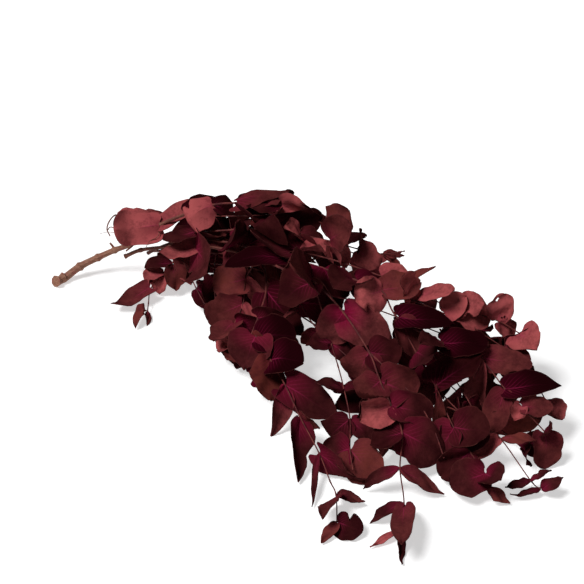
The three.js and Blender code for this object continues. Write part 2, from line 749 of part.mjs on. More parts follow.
// A leaf blade open at its root: the middle surface on a few rows, thickened alike to both
// faces, then joined to root, the four corners of the wood's facet that it grows from.
function bladeParts(leaf, rows, root) {
  const middle = [];
  for (const s of rows) for (const t of [-1, 0, 1]) middle.push(leafPoint(leaf, s, t));
  middle.push(leafPoint(leaf, 1, 0));
  const tip = middle.length - 1;
  const faces = [];
  for (let a = 0; a + 3 < tip; a += 3) {
    faces.push([a, a + 3, a + 4], [a, a + 4, a + 1], [a + 1, a + 4, a + 5], [a + 1, a + 5, a + 2]);
  }
  faces.push([tip - 3, tip, tip - 2], [tip - 2, tip, tip - 1]);
  const normals = middle.map(() => [0, 0, 0]);
  for (const [a, b, c] of faces) {
    const normal = cross(sub(middle[b], middle[a]), sub(middle[c], middle[a]));
    for (const v of [a, b, c]) normals[v] = add(normals[v], normal);
  }
  const offset = (by) => middle.map((p, i) => add(p, scale(unit(normals[i]), by)));
  const n = middle.length;
  const triangles = [...faces, ...faces.map(([a, b, c]) => [a + n, c + n, b + n])];
  const left = [...rows.map((_, r) => 3 * r), tip];
  const right = [...rows.map((_, r) => 3 * r + 2), tip];
  for (let i = 0; i + 1 < left.length; i += 1) {
    const [a, b] = [left[i], left[i + 1]];
    const [c, d] = [right[i + 1], right[i]];
    triangles.push([a, a + n, b + n], [a, b + n, b], [c, c + n, d + n], [c, d + n, d]);
  }
  const corner = (across, up) =>
    add(leaf.base, add(leaf.along, add(scale(leaf.side, across), scale(leaf.face, up))));
  const seats = [corner(-1, -1), corner(1, -1), corner(1, 1), corner(-1, 1)];
  const miss = (r) => seats.reduce((sum, p, i) => sum + size(sub(p, root[(i + r) % 4])) ** 2, 0);
  const spin = [0, 1, 2, 3].reduce((best, r) => (miss(r) < miss(best) ? r : best), 0);
  const [g0, g1, g2, g3] = [0, 1, 2, 3].map((i) => 2 * n + ((i + spin) % 4));
  triangles.push([g3, 0, 1], [g3, 1, g2], [g2, 1, 2], [g0, n + 1, n], [g0, g1, n + 1]);
  triangles.push([g1, n + 2, n + 1], [2, n + 2, g1], [2, g1, g2], [g3, g0, n], [g3, n, 0]);
  const points = [...offset(LEAF_THICKNESS / 2), ...offset(-LEAF_THICKNESS / 2), ...root];
  return { points, triangles, cap: [[g0, g3, g2], [g0, g2, g1]] };
}

// The rings of a shoot's wood. A leafy point has two, NODE_HEIGHT apart, and its leaves grow
// from facets between them, one facet for each leaf.
function woodRings(shoot, frames, leaves) {
  const sides = shoot.wide[0] > 3 ? 6 : 4;
  const sector = (2 * Math.PI) / sides;
  const [foot, end] = shoot.wide;
  const rings = [];
  let theta = 0;
  frames.forEach((frame, i) => {
    const share = (1 - i / (frames.length - 1)) ** 1.5;
    const radius = (foot * share + end * (1 - share)) / 2;
    const here = leaves.filter((leaf) => leaf.point === i);
    if (here.length > 0) {
      const angles = here.map(({ out }) => Math.atan2(dot(out, frame.upward), dot(out, frame.level)));
      theta = angles[0] + sector * Math.round((theta - angles[0]) / sector);
      const facets = angles.map((angle) => Math.round((angle - theta) / sector));
      if ((facets[1] - facets[0]) % sides === 0) facets[1] += 1;
      here.forEach((leaf, j) => {
        leaf.facet = ((facets[j] % sides) + sides) % sides;
        leaf.ring = rings.length;
      });
    }
    for (const step of here.length > 0 ? [-NODE_HEIGHT / 2, NODE_HEIGHT / 2] : [0]) {
      const centre = add(frame.at, scale(frame.ahead, step));
      const ring = Array.from({ length: sides }, (_, j) => {
        const angle = theta + (j - 0.5) * sector;
        const across = scale(frame.level, radius * Math.cos(angle));
        return add(centre, add(across, scale(frame.upward, radius * Math.sin(angle))));
      });
      rings.push(ring);
    }
  });
  return rings;
}

// The four corners of the facet that a leaf grows from, moved outwards by a distance.
function facetOf(leaf, rings, by) {
  const next = (leaf.facet + 1) % rings[0].length;
  const [low, high] = [rings[leaf.ring], rings[leaf.ring + 1]];
  return [low[leaf.facet], low[next], high[next], high[leaf.facet]].map((p) =>
    add(p, scale(leaf.out, by)),
  );
}

// A leaf that crosses others, as a solid of its own with its root sunk in the wood.
function crossingLeaf(rings, { seedling, leaf, rows }) {
  const parts = bladeParts(leaf, rows, facetOf(seedling, rings, -ROOT_SUNK));
  return solidOf(parts.points, [...parts.triangles, ...parts.cap]);
}

// A whole shoot as one closed mesh: its wood, with each grown leaf in place of its facet.
function shootSolid(rings, grown) {
  const sides = rings[0].length;
  const points = rings.flat();
  const triangles = [];
  const last = points.length - sides;
  for (let j = 0; j < sides; j += 1) {
    const next = (j + 1) % sides;
    for (let r = 0; r + 1 < rings.length; r += 1) {
      if (grown.some(({ seedling }) => seedling.ring === r && seedling.facet === j)) continue;
      const [a, b, c, d] = [r * sides + j, r * sides + next, (r + 1) * sides + next, (r + 1) * sides + j];
      triangles.push([a, b, c], [a, c, d]);
    }
    if (j > 0 && next > 0) triangles.push([0, next, j], [last, last + j, last + next]);
  }
  for (const { seedling, leaf, rows } of grown) {
    const parts = bladeParts(leaf, rows, facetOf(seedling, rings, 0));
    const shift = points.length;
    points.push(...parts.points);
    triangles.push(...parts.triangles.map((t) => t.map((v) => v + shift)));
  }
  return solidOf(points, triangles);
}

// ---- The bunch ----
const shoots = STEMS.flatMap((stem, stemIndex) =>
  stem.shoots.map((shoot, i) => {
    const frames = shootFrames(stem, shoot);
    const leaves = seedlings(shoot, frames, 10 * stemIndex + i + 1);
    const rings = woodRings(shoot, frames, leaves);
    return { stemIndex, leaves, rings, wood: shootSolid(rings, []), grown: [] };
  }),
);
const standing = []; // every grown leaf, as a solid with its box
const shown = []; // every hand-placed one, as it looks on the layout sheet

const near = (a, b) =>
  a.min.every((v, i) => v < b.max[i] + CLEARANCE) && a.max.every((v, i) => v > b.min[i] - CLEARANCE);

// Whether a leaf in this pose is clear of all that stands already. One that crosses is only
// tested against the other stems.
function isClear(guard, box, shoot, crosses) {
  if (box.min[2] < -SINK) return false;
  const least = (other) => {
    if (other.stemIndex !== shoot.stemIndex) return CLEARANCE;
    return crosses ? -1 : OWN_CLEARANCE;
  };
  const clearOf = (body, owner) => least(owner) < 0 || guard.minGap(body, 1) >= least(owner);
  return (
    standing.every((other) => !near(box, other.box) || clearOf(other.guard, other.shoot)) &&
    shoots.every((other) => clearOf(other.wood, other))
  );
}

// Whether a ruled leaf keeps to the bunch's outline and leaves the gaps open.
function keepsForm(leaf) {
  for (const s of [0.3, 0.6, 1]) {
    for (const t of s < 1 ? [-1, 0, 1] : [0]) {
      const spot = onSheet(leafPoint(leaf, s, t));
      if (!inside(spot, OUTLINE) || GAPS.some((gap) => inside(spot, gap))) return false;
    }
  }
  return true;
}

// Whether a ruled leaf would stand in front of a hand-placed one, seen along the line of sight.
function hidesOne(leaf) {
  let hidden = 0;
  for (const s of [0.3, 0.6, 0.9]) {
    for (const t of [-0.6, 0, 0.6]) {
      const point = leafPoint(leaf, s, t);
      const spot = onSheet(point);
      const nearer = dot(point, TO_EYE);
      if (shown.some((other) => nearer > other.depth && inside(spot, other.outline))) hidden += 1;
    }
  }
  return hidden > MOST_HIDDEN;
}

// A hand-placed leaf as it looks on the layout sheet.
function lookOf(leaf) {
  const along = [0.1, 0.25, 0.45, 0.65, 0.85];
  const right = along.map((s) => onSheet(leafPoint(leaf, s, 1)));
  const left = along.map((s) => onSheet(leafPoint(leaf, s, -1)));
  const outline = [...right, onSheet(leafPoint(leaf, 1, 0)), ...left.reverse()];
  return { outline, depth: dot(leafPoint(leaf, 0.5, 0), TO_EYE) };
}

// A leaf grows in the first of its poses that is clear, or not at all.
function growLeaf(shoot, seedling) {
  const rows = seedling.byHand ? ROWS_BY_HAND : ROWS_BY_RULE;
  const root = facetOf(seedling, shoot.rings, ROOT_GUARD);
  const tries = seedling.byHand ? DEPTHS.length * ROLLS.length : SMALLER.length * SWINGS;
  for (let k = 0; k < tries; k += 1) {
    const leaf = bentLeaf(seedling, k);
    if (!seedling.byHand && (!keepsForm(leaf) || hidesOne(leaf))) continue;
    const parts = bladeParts(leaf, rows, root);
    const guard = solidOf(parts.points, [...parts.triangles, ...parts.cap]);
    const box = guard.boundingBox();
    const crosses = seedling.byHand && ROLLS[Math.floor(k / DEPTHS.length)].crosses;
    if (isClear(guard, box, shoot, crosses)) {
      standing.push({ guard, box, shoot });
      shoot.grown.push({ seedling, leaf, rows, crosses });
      if (seedling.byHand) shown.push(lookOf(leaf));
      return;
    }
  }
}

for (const byHand of [true, false]) {
  for (const shoot of shoots) {
    for (const seedling of shoot.leaves) {
      if (seedling.byHand === byHand) growLeaf(shoot, seedling);
    }
  }
}

// Everything under the surface is pressed flat against it.
const ground = new THREE.BoxGeometry(2000, 2000, 100).translate(0, 0, -50);
ground.deleteAttribute("normal");
ground.deleteAttribute("uv");
const groundMesh = mergeVertices(ground);
const groundSolid = new wasm.Manifold(
  new wasm.Mesh({
    numProp: 3,
    vertProperties: groundMesh.attributes.position.array,
    triVerts: new Uint32Array(groundMesh.index.array),
  }),
);

function meshOf(name, solid, colour) {
  const made = solid.getMesh();
  const geometry = new THREE.BufferGeometry();
  geometry.setAttribute("position", new THREE.BufferAttribute(new Float32Array(made.vertProperties), 3));
  geometry.setIndex(new THREE.BufferAttribute(new Uint32Array(made.triVerts), 1));
  geometry.computeVertexNormals();
  const material = new THREE.MeshStandardMaterial({ color: colour, roughness: 0.8, metalness: 0 });
  const mesh = new THREE.Mesh(geometry, material);
  mesh.name = name;
  return mesh;
}

const bunch = new THREE.Group();
bunch.name = "eucalyptus_bunch";
STEMS.forEach((stem, stemIndex) => {
  const own = shoots.filter((shoot) => shoot.stemIndex === stemIndex);
  const solids = own.flatMap(({ rings, grown }) => [
    shootSolid(rings, grown.filter((leaf) => !leaf.crosses)),
    ...grown.filter((leaf) => leaf.crosses).map((leaf) => crossingLeaf(rings, leaf)),
  ]);
  const whole = wasm.Manifold.union(solids);
  const pieces = whole.subtract(groundSolid).decompose();
  const largest = pieces.sort((a, b) => b.volume() - a.volume())[0];
  bunch.add(meshOf(stem.name, largest, stem.colour));
});

export default bunch;
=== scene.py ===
"""A bunch of dried, dyed eucalyptus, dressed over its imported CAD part.

The five cut stems are built again with finer leaves and round, jointed wood. Every leaf stands
where the part has it: the layout below is the part's own, and a leaf's pose is the one whose
corners are found in the part's mesh. Lengths are in millimetres until a mesh is written. A range
is given by its least value and by how far it spreads above that.
"""

import math

import bpy
import numpy as np
from bpy.props import FloatProperty, FloatVectorProperty, IntProperty, PointerProperty
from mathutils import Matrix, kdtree


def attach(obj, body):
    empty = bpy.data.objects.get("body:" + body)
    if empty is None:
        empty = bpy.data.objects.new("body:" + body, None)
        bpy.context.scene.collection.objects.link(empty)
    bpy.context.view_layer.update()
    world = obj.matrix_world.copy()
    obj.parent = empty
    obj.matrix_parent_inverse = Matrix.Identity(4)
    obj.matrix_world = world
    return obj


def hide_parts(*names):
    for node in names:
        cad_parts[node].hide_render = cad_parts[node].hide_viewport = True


bl_info = {
    "name": "Dried eucalyptus bunch",
    "version": (1, 0, 0),
    "blender": (4, 5, 0),
    "location": "3D View > Sidebar > Eucalyptus",
    "description": "Builds a lying bunch of dried, dyed eucalyptus with its leaves and wood",
    "category": "Object",
}

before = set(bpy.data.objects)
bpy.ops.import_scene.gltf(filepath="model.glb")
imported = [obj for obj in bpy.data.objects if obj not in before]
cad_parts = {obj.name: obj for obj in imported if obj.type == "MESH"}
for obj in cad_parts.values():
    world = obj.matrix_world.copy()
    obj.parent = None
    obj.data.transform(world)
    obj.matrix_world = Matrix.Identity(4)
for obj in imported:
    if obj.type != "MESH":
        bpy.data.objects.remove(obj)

MM = 0.001
FULL_TURN = 6.28  # in radians, rounded as in the part

# The part's own driving dimensions.
LEAF_LENGTH = 52
LEAF_WIDTH = 44
BLADE_HALF = 0.4  # half the thickness of a blade in the part
BOTTOM_CENTRE = np.array([3.1, -135.1, 0.0])
SHEET = 584  # the side of the layout sheet, which is seen from TO_EYE at SIGHT_DISTANCE
SIGHT_ANGLE = math.radians(40)
SIGHT_DISTANCE = 1622
TO_EYE = np.array([0, -math.cos(SIGHT_ANGLE), math.sin(SIGHT_ANGLE)])
SHEET_UP = np.array([0, math.sin(SIGHT_ANGLE), math.cos(SIGHT_ANGLE)])

# How the part poses a listed leaf.
SMALLEST_REACH = 0.8
LOWEST_TIP = 1.5
HAND_TWIST = math.radians(12)
HAND_WAVE = 0.1
DEPTHS = [0, 3, -3, 6, -6, 10, -10, 15, -15, 20, -20, 26, -26, 33]
ROLLS = [(roll, 1) for roll in (0, 14, -14, 28, -28, 45, -45)]
ROLLS += [(roll, 0.8) for roll in (0, 20, -20, 45, -45, 65, -65)]
ROWS_BY_HAND = (0.14, 0.45, 0.8)

# How the part poses a leaf that stands by rule.
STANCE = math.radians(58)
STANCE_SPREAD = 0.5
LEVELLED = np.array([0, 0, 0.8])
SAGGING = np.array([0, 0, -0.15])
RULED_LENGTH = (0.8, 0.3)
RULED_WIDTH = (0.75, 0.3)
RULED_FOLD = (-4, 20)
RULED_BEND = (-8, 38)
RULED_TWIST = math.radians(30)
RULED_WAVE = 0.12
ROUND_SHARE = 0.6
WEAKER = 0.4  # how much smaller the leaves get along a shoot, and from where on
WEAKER_FROM = 0.3
SWINGS = 45
SMALLER = [1, 0.75, 0.55]
SWING = dict(first=5, step=1.1, way=2.4, yaw=0.7, roll=1.7)
ROWS_BY_RULE = (0.26, 0.72)
AZIMUTH_SPREAD = 0.6
SAME_SPOT = 0.03  # how near to a point of the part's mesh a leaf's corner has to be

# The finer blades.
BLADE_START = 0.012  # where a blade starts and ends along its leaf
BLADE_END = 0.996
LOBE_GAIN = 1.8
LOWEST = 0.25  # how high the middle of a blade lies at least, a little over half its thickness
SHARP = math.radians(35)

# Worn margins. Depths are shares of a leaf's half width, places and runs are shares of its length.
BAYS = 0.15
DEEPER_BAYS = 2.0  # how many times deeper the bays of the angular leaves at the crest are
CORNERS = 5
CORNER_RUN = (0.14, 0.16)
TEETH = 0.026
TEETH_BEATS = (47, 19)
TORN_SHARE = 0.25  # how many leaves are torn
TORN_PLACE = (0.35, 0.5)
TORN_REACH = (0.07, 0.12)
TORN_DEPTH = (0.25, 0.35)
TORN_FLAT = 1.2

# Creases: how many leaves have one, how it lies, where it starts and how far it is folded.
CREASED_SHARE = 0.65
CREASE_SLANT = 1.2
TIP_CREASE = (0.55, 0.3)
SIDE_CREASE = (0.2, 0.2)
CREASE_ANGLE = (0.35, 1.1)

# Relief: ripples at the margin, dents inside it, a rolled margin and a curled tip.
RIPPLE = 0.65
RIPPLES = ((12, 4, 1), (21, -7, 0.7))
DENT = 1.1
DENT_BEATS = (9, 3)
ROLLED_MARGIN = 1.6
ROLLED_FROM = 0.4
ROLLED_RUN = 0.3
CURLED_TIP = 1.1
CURLED_FROM = 0.7

# Painted shade: how far a leaf under others is darkened, for the shade that falls on it there. It
# counts as covered by the part's corners that stand this far above it and this near to it, and as
# fully covered by so many of them.
PAINTED_SHADE_UNDER_COVER = 0.75
COVER_HEIGHT = 8
COVER_REACH = 22
COVER_FULL = 50
TONE_SPREAD = 0.5

# The finer wood.
WOOD_STEP = 3.0
WOOD_ROUNDNESS = 2
TAPER = 1.5
NODE_SWELL = 0.35
NODE_RUN = 1.8
YOUNG_RADIUS = 1.5
OLD_RADIUS = 2.8
SLIMMER = 0.25  # how much thinner than in the part the thinnest shoots are, as a share
TWIG_BARK = 0.4
CUT_END = 2.5  # a flat end of the wood larger than this, in square millimetres, is a cut one

# Patterns of the finishes: scale, detail and roughness of their noise.
CLOUDS = (60.0, 5.0, 0.65)
MOTTLES = (320.0, 4.0, 0.7)
LEAF_GRAIN = (1100.0, 3.0, 0.6)
EDGE_PATCHES = (150.0, 3.0, 0.6)
BARK_STREAKS = (700.0, 5.0, 0.65)
BARK_STRETCH = (0.25, 0.8, 1)
BARK_PATCHES = (120.0, 3.0, 0.5)
CUT_GRAIN = (900.0, 4.0, 0.6)

# Ramps of the finishes: the two values that each runs between, and then what it gives there, where
# that isn't 0 and 1.
CLOUD_TONES = (0.3, 0.7, 0.6, 1.3)
CLOUD_BROWNS = (0.35, 0.65, 0.3, 1.0)
MOTTLE_TONES = (0.3, 0.7, 0.8, 1.2)
CRIMSON_FEET = (0.0, 1.0, 0.1, 1.0)
VEINS_AT_FOOT = (0.0, 1.0, 0.04, 0.45)
DRY_EDGES = (0.35, 0.65)
WEATHERED_STREAKS = (0.35, 0.7)
STAINED_PATCHES = (0.5, 0.7)
DARK_PATCHES = (0.3, 0.7)
BROWNED_GRAIN = (0.4, 0.7)

# Ramps of a leaf's marks, by the distance from its midrib, from a side vein or from its foot.
MIDRIB = (0.012, 0.045, 1.0, 0.0)
SIDE_VEIN = (0.02, 0.1, 1.0, 0.0)
FAINTER_OUTWARDS = (0.2, 0.95, 0.75, 0.15)
FAINTER_ONWARDS = (0.2, 1.0, 1.0, 0.35)
FOOT = (0.02, 0.6, 1.0, 0.0)
SIDE_MARGIN = (0.95, 0.985)
TIP_MARGIN = (0.975, 0.992)
SIDE_VEINS = 9
VEIN_SWEEP = 0.5  # how far on a side vein gets on its way to the margin
VEIN_STAGGER = 0.45  # how far ahead the side veins stand on one half
FOOT_SPREAD = 0.06  # how little the foot's distance counts across the leaf

# How much of a mark shows, and how far patterns stand out as relief beside a vein.
MARGIN_SHARE = 0.15
BLOOM_SHARE = 0.2
GRAIN_RELIEF = 0.25
MOTTLE_RELIEF = 1.2

# The stage.
LENS = 100
FLOOR_SIZE = 12
FLOOR_GREY = 0.65
KEY_PLACE = (-0.5, 0.5, 1.9)
KEY_TURN = (0.12, -0.5, 0)  # the key light's turn from straight down
KEY_SPREAD = math.radians(25)
FILL_PLACE = (0.2, -1.9, 1.5)
FILL_TURN = (0.9, 0, 0)
FILL_SIZE = 1.6


# ---- Layout of the bunch ----
STEMS = []


def add_stem(name):
    """Adds a stem without shoots, by the name of its node in the part."""
    STEMS.append(dict(name=name, shoots=[]))


def add_shoot(wide, leafy, points, leaves=(), start=None):
    """Adds a shoot to the last stem.

    wide: diameter at its two ends. leafy: the first point with leaves. points: the nodes along
    the shoot, each across and down the sheet and at its height. leaves: listed ones,
    each (point, tip across, tip down, lean, width, roll, fold, bend, form). lean is how far the
    tip lies above or below a leaf seen square on, roll turns the leaf about its length, fold and
    bend are its cross and long curves, in degrees. A pair that the list leaves open is filled by
    rule. start: the shoot and point that a side shoot starts at, which is then its point 0.
    """
    kept = dict(wide=wide, leafy=leafy, points=points, leaves=leaves, start=start)
    STEMS[-1]["shoots"].append(kept)


add_stem("stem_1_butt_and_crest")
add_shoot(wide=(9, 1.6), leafy=6, points=[
    (56, 283, 3.8), (64, 278.5, 3.8), (80, 266.5, 12), (98, 257.5, 19), (115, 250, 27),
    (136, 242, 40), (160, 225, 61), (186, 214, 78), (213, 205, 92), (237, 203, 101),
    (262, 204, 105), (282, 204, 106), (296, 201, 107),
], leaves=[
    (6, 113, 232, 0, 38, 0, 9, 10, "square"), (6, 200, 195, 0, 22, 30, 9, -15, "heart"),
    (8, 184, 222, 2, 34, 10, 6, 30, "square"), (8, 238, 218, -10, 34, 45, 11, 20, "round"),
    (9, 290, 191, 4, 24, 45, 11, 10, "heart"), (9, 268, 226, 0, 36, 50, 7, 20, "round"),
    (10, 284, 198, 0, 16, 40, 11, 20, "oval"), (11, 314, 212, 0, 26, -50, 9, 15, "heart"),
    (11, 247, 208, 0, 20, 45, 7, 15, "oval"),
])
add_shoot(wide=(3.4, 1.4), leafy=3, start=(0, 4), points=[
    (138, 243, 38), (166, 238, 52), (197, 233, 66), (232, 230, 78), (268, 229, 86), (300, 235, 91),
    (330, 241, 93), (358, 249, 92), (383, 254, 90), (405, 251, 91),
], leaves=[
    (3, 162, 238, 0, 32, 60, 6, 15, "round"), (3, 226, 236, 0, 32, 60, 6, 15, "round"),
    (6, 285, 226, 6, 26, 50, 11, 20, "oval"), (6, 318, 262, 6, 30, 60, 28, 40, "round"),
    (7, 354, 226, 8, 36, 20, 8, 30, "round"), (7, 344, 268, 0, 34, 50, 11, 40, "round"),
    (8, 380, 266, 0, 29, -25, 7, 25, "round"), (9, 404, 256, 0, 10, 30, 11, 10, "blade"),
    (9, 401, 268, -4, 12, 30, 11, 10, "blade"),
])
add_shoot(wide=(2.2, 1.5), leafy=2, start=(1, 4), points=[
    (262, 240, 80), (300, 251, 84), (340, 262, 84), (380, 276, 82), (418, 295, 78), (458, 308, 72),
    (498, 321, 64), (519, 333, 58),
], leaves=[
    (2, 248, 243, -4, 40, 45, 11, 20, "round"), (2, 344, 252, 6, 24, 60, 32, 10, "oval"),
    (4, 412, 281, 4, 30, 45, 8, 20, "round"), (4, 437, 283, 0, 14, 50, 11, 20, "oval"),
    (5, 456, 292, 0, 20, 40, 7, 15, "round"), (5, 407, 303, -2, 14, 30, 11, 20, "oval"),
    (6, 484, 303, 0, 27, 20, 7, 15, "round"), (6, 489, 324, 0, 34, 15, 7, 15, "round"),
    (7, 506, 294, 6, 25, 0, 4, 10, "square"), (7, 514, 335, 0, 20, 10, 6, 10, "round"),
    (8, 537, 350, 2, 34, 10, 4, 10, "heart"),
])
add_shoot(wide=(2.0, 1.4), leafy=1, start=(0, 7), points=[
    (214, 216, 84), (244, 216, 92), (274, 215, 96), (304, 218, 94), (332, 226, 88),
], leaves=[
    (3, 262, 231, 0, 36, 45, 7, 20, "round"), (5, 350, 210, 6, 34, 20, 8, 30, "round"),
])
add_shoot(wide=(2.0, 1.4), leafy=1, start=(0, 5), points=[
    (131, 230, 52), (124, 221, 58),
], leaves=[
    (1, 165, 212, 2, 24, 20, 7, 10, "round"), (2, 151, 211, 0, 23, 30, 7, 10, "heart"),
])

add_stem("stem_2_star_shoots")
add_shoot(wide=(4.6, 1.5), leafy=2, points=[
    (125, 256.5, 19), (141, 250, 28), (168, 247, 42), (196, 246, 56), (228, 250, 68),
    (262, 260, 78), (290, 272, 84), (313, 281, 88), (343, 312, 74), (369, 352, 62), (380, 381, 54),
    (391, 405, 46), (402, 432, 36), (400, 468, 24), (404, 504, 12), (398, 531, 6),
], leaves=[
    (3, 160, 257, 0, 26, 50, 6, 15, "heart"), (3, 216, 277, 0, 48, 10, 7, 20, "round"),
    (7, 277, 303, 0, 44, 35, 11, 15, "heart"), (7, 290, 262, 6, 46, 50, 8, 10, "round"),
    (8, 322, 341, 0, 40, -15, 7, 20, "round"), (8, 389, 341, 0, 38, -15, 7, 20, "round"),
    (9, 354, 386, 0, 40, 10, 7, 10, "round"), (9, 405, 359, 0, 36, 20, 7, 10, "round"),
    (10, 360, 399, 0, 36, 10, 7, 15, "round"), (10, 423, 400, 2, 44, 10, 7, 10, "heart"),
    (11, 360, 422, 2, 34, 20, 11, 20, "oval"), (11, 432, 418, 0, 34, 30, 11, 20, "round"),
    (12, 371, 446, 0, 34, 50, 11, 20, "oval"), (12, 445, 456, 0, 42, 10, 7, 10, "round"),
    (13, 361, 489, -2, 13, 40, 11, 20, "blade"), (13, 442, 496, -2, 18, 40, 11, 10, "blade"),
    (14, 368, 523, -6, 14, 50, 11, 30, "blade"), (14, 402, 549, -4, 22, 15, 14, 10, "oval"),
    (15, 370, 548, -4, 7, 40, 11, 10, "blade"), (15, 401, 565, -3, 11, 40, 11, 10, "blade"),
])
add_shoot(wide=(1.9, 1.5), leafy=2, start=(0, 7), points=[
    (323, 314, 66), (331, 343, 50), (338, 366, 40), (344, 389, 30), (350, 419, 22), (350, 449, 18),
    (353, 470, 12),
], leaves=[
    (2, 301, 339, 2, 20, 30, 11, 20, "oval"), (2, 353, 363, -2, 22, 30, 11, 20, "round"),
    (4, 315, 383, 0, 20, 60, 11, 20, "oval"), (4, 372, 384, 0, 20, 60, 11, 20, "oval"),
    (5, 319, 446, 2, 30, 15, 8, 20, "oval"), (5, 376, 449, 0, 24, 40, 11, 20, "oval"),
    (6, 324, 457, 4, 34, 15, 6, 10, "round"), (6, 376, 482, 2, 39, 5, 6, 10, "round"),
])
add_shoot(wide=(1.9, 1.4), leafy=1, start=(0, 9), points=[
    (395, 377, 54), (418, 402, 44), (434, 430, 34), (444, 458, 24),
])
add_shoot(wide=(1.9, 1.4), leafy=1, start=(0, 6), points=[
    (300, 302, 64), (318, 330, 52), (352, 362, 42), (372, 396, 34), (384, 428, 24),
])

add_stem("stem_3_right_hand_shoots")
add_shoot(wide=(3.8, 1.5), leafy=2, points=[
    (148, 253, 21), (172, 243, 44), (206, 240, 58), (245, 246, 71), (285, 257, 80), (322, 268, 86),
    (355, 280, 89), (382, 291, 89), (398, 318, 79), (441, 343, 69), (479, 358, 60), (505, 389, 48),
    (522, 407, 41), (545, 432, 29),
], leaves=[
    (2, 168, 247, 0, 30, 60, 6, 15, "round"), (2, 234, 250, 0, 30, 60, 6, 15, "round"),
    (4, 222, 262, -4, 32, 35, 7, 20, "round"), (6, 334, 286, 0, 42, 35, 11, 30, "round"),
    (7, 354, 299, 2, 36, 10, 6, 10, "round"), (7, 420, 283, 8, 32, 25, 7, 10, "round"),
    (8, 420, 361, 2, 28, 20, 11, 20, "oval"), (8, 455, 323, 2, 32, 35, 7, 10, "heart"),
    (9, 421, 342, 4, 26, 40, 11, 30, "round"), (9, 488, 346, 2, 36, 45, 11, 20, "round"),
    (10, 478, 410, 4, 26, 30, 16, 20, "oval"), (10, 532, 366, 2, 30, 25, 7, 20, "round"),
    (11, 562, 385, 2, 28, 35, 11, 20, "heart"), (11, 492, 436, 4, 28, 30, 11, 20, "oval"),
    (12, 514, 421, 0, 20, 20, 32, 20, "heart"), (12, 553, 408, 2, 22, 30, 11, 20, "round"),
    (13, 546, 470, 0, 30, 10, 6, 20, "round"), (13, 552, 431, 2, 18, 40, 11, 20, "oval"),
])
add_shoot(wide=(1.9, 1.4), leafy=1, start=(0, 8), points=[
    (416, 352, 60), (436, 386, 48), (460, 412, 40), (483, 428, 33), (500, 438, 28), (531, 481, 11),
    (541, 489, 8),
], leaves=[
    (4, 438, 448, 0, 38, 25, 11, 20, "round"), (5, 466, 463, 2, 18, 30, 16, 20, "oval"),
    (5, 537, 440, 4, 14, 40, 11, 10, "blade"), (6, 505, 488, 2, 10, 50, 11, 10, "blade"),
    (6, 551, 469, 2, 9, 60, 11, 10, "blade"), (7, 564, 478, 2, 14, 30, 11, 10, "blade"),
    (7, 510, 500, 0, 9, 60, 11, 10, "blade"),
])
add_shoot(wide=(1.8, 1.4), leafy=1, start=(1, 2), points=[
    (446, 408, 43), (454, 428, 37), (470, 452, 27), (485, 474, 18), (487, 489, 12),
], leaves=[
    (2, 490, 432, 4, 40, 25, 14, 10, "round"), (2, 432, 462, 0, 40, 30, 11, 10, "round"),
    (3, 440, 477, 0, 34, 15, 7, 20, "round"), (4, 450, 486, 2, 36, 20, 11, 20, "round"),
    (4, 502, 481, 2, 26, 20, 7, 20, "round"), (5, 509, 504, -4, 12, 30, 11, 10, "blade"),
])
add_shoot(wide=(1.9, 1.4), leafy=1, start=(0, 7), points=[
    (412, 300, 78), (445, 314, 68), (476, 330, 58), (504, 348, 48),
], leaves=[
    (1, 400, 270, 4, 26, 40, 11, 20, "round"), (2, 466, 296, 4, 28, 30, 11, 20, "round"),
])
add_shoot(wide=(1.9, 1.4), leafy=1, start=(0, 8), points=[
    (424, 346, 60), (449, 372, 50), (468, 400, 40), (480, 426, 30),
])
add_shoot(wide=(1.9, 1.4), leafy=1, start=(0, 10), points=[
    (505, 364, 50), (530, 376, 42), (548, 404, 32),
], leaves=[
    (3, 562, 420, 2, 22, 30, 11, 20, "round"),
])

add_stem("stem_4_front_shoots")
add_shoot(wide=(3.4, 1.5), leafy=1, points=[
    (150, 251, 14), (177, 251, 32), (216, 253, 50), (258, 259, 62), (266, 290, 54), (258, 318, 46),
    (256, 336, 42), (270, 359, 36), (285, 385, 32), (300, 417, 26), (319, 453, 18), (330, 481, 12),
    (336, 495, 9), (337, 522, 5),
], leaves=[
    (1, 186, 288, 2, 24, 40, 14, 20, "oval"), (1, 157, 264, 0, 26, 50, 11, 20, "oval"),
    (3, 272, 262, 10, 14, 50, 11, 20, "oval"), (3, 280, 291, 0, 18, 40, 11, 20, "oval"),
    (6, 297, 336, 6, 40, 20, 14, 20, "round"), (6, 243, 370, 2, 44, 20, 11, 20, "heart"),
    (7, 303, 361, 0, 44, 30, 11, 20, "round"), (8, 273, 438, 6, 19, -25, 14, 10, "oval"),
    (8, 338, 418, 2, 38, 20, 8, 15, "heart"), (9, 297, 483, 2, 24, -25, 16, 15, "oval"),
    (10, 313, 508, 0, 8, 30, 16, 10, "blade"), (10, 365, 489, 0, 26, -25, 8, 10, "heart"),
    (12, 322, 518, 2, 20, 40, 16, 20, "oval"), (12, 367, 505, 2, 12, 50, 16, 10, "blade"),
    (13, 321, 544, 0, 12, 30, 11, 10, "oval"), (13, 363, 532, 2, 26, 10, 6, 20, "round"),
])
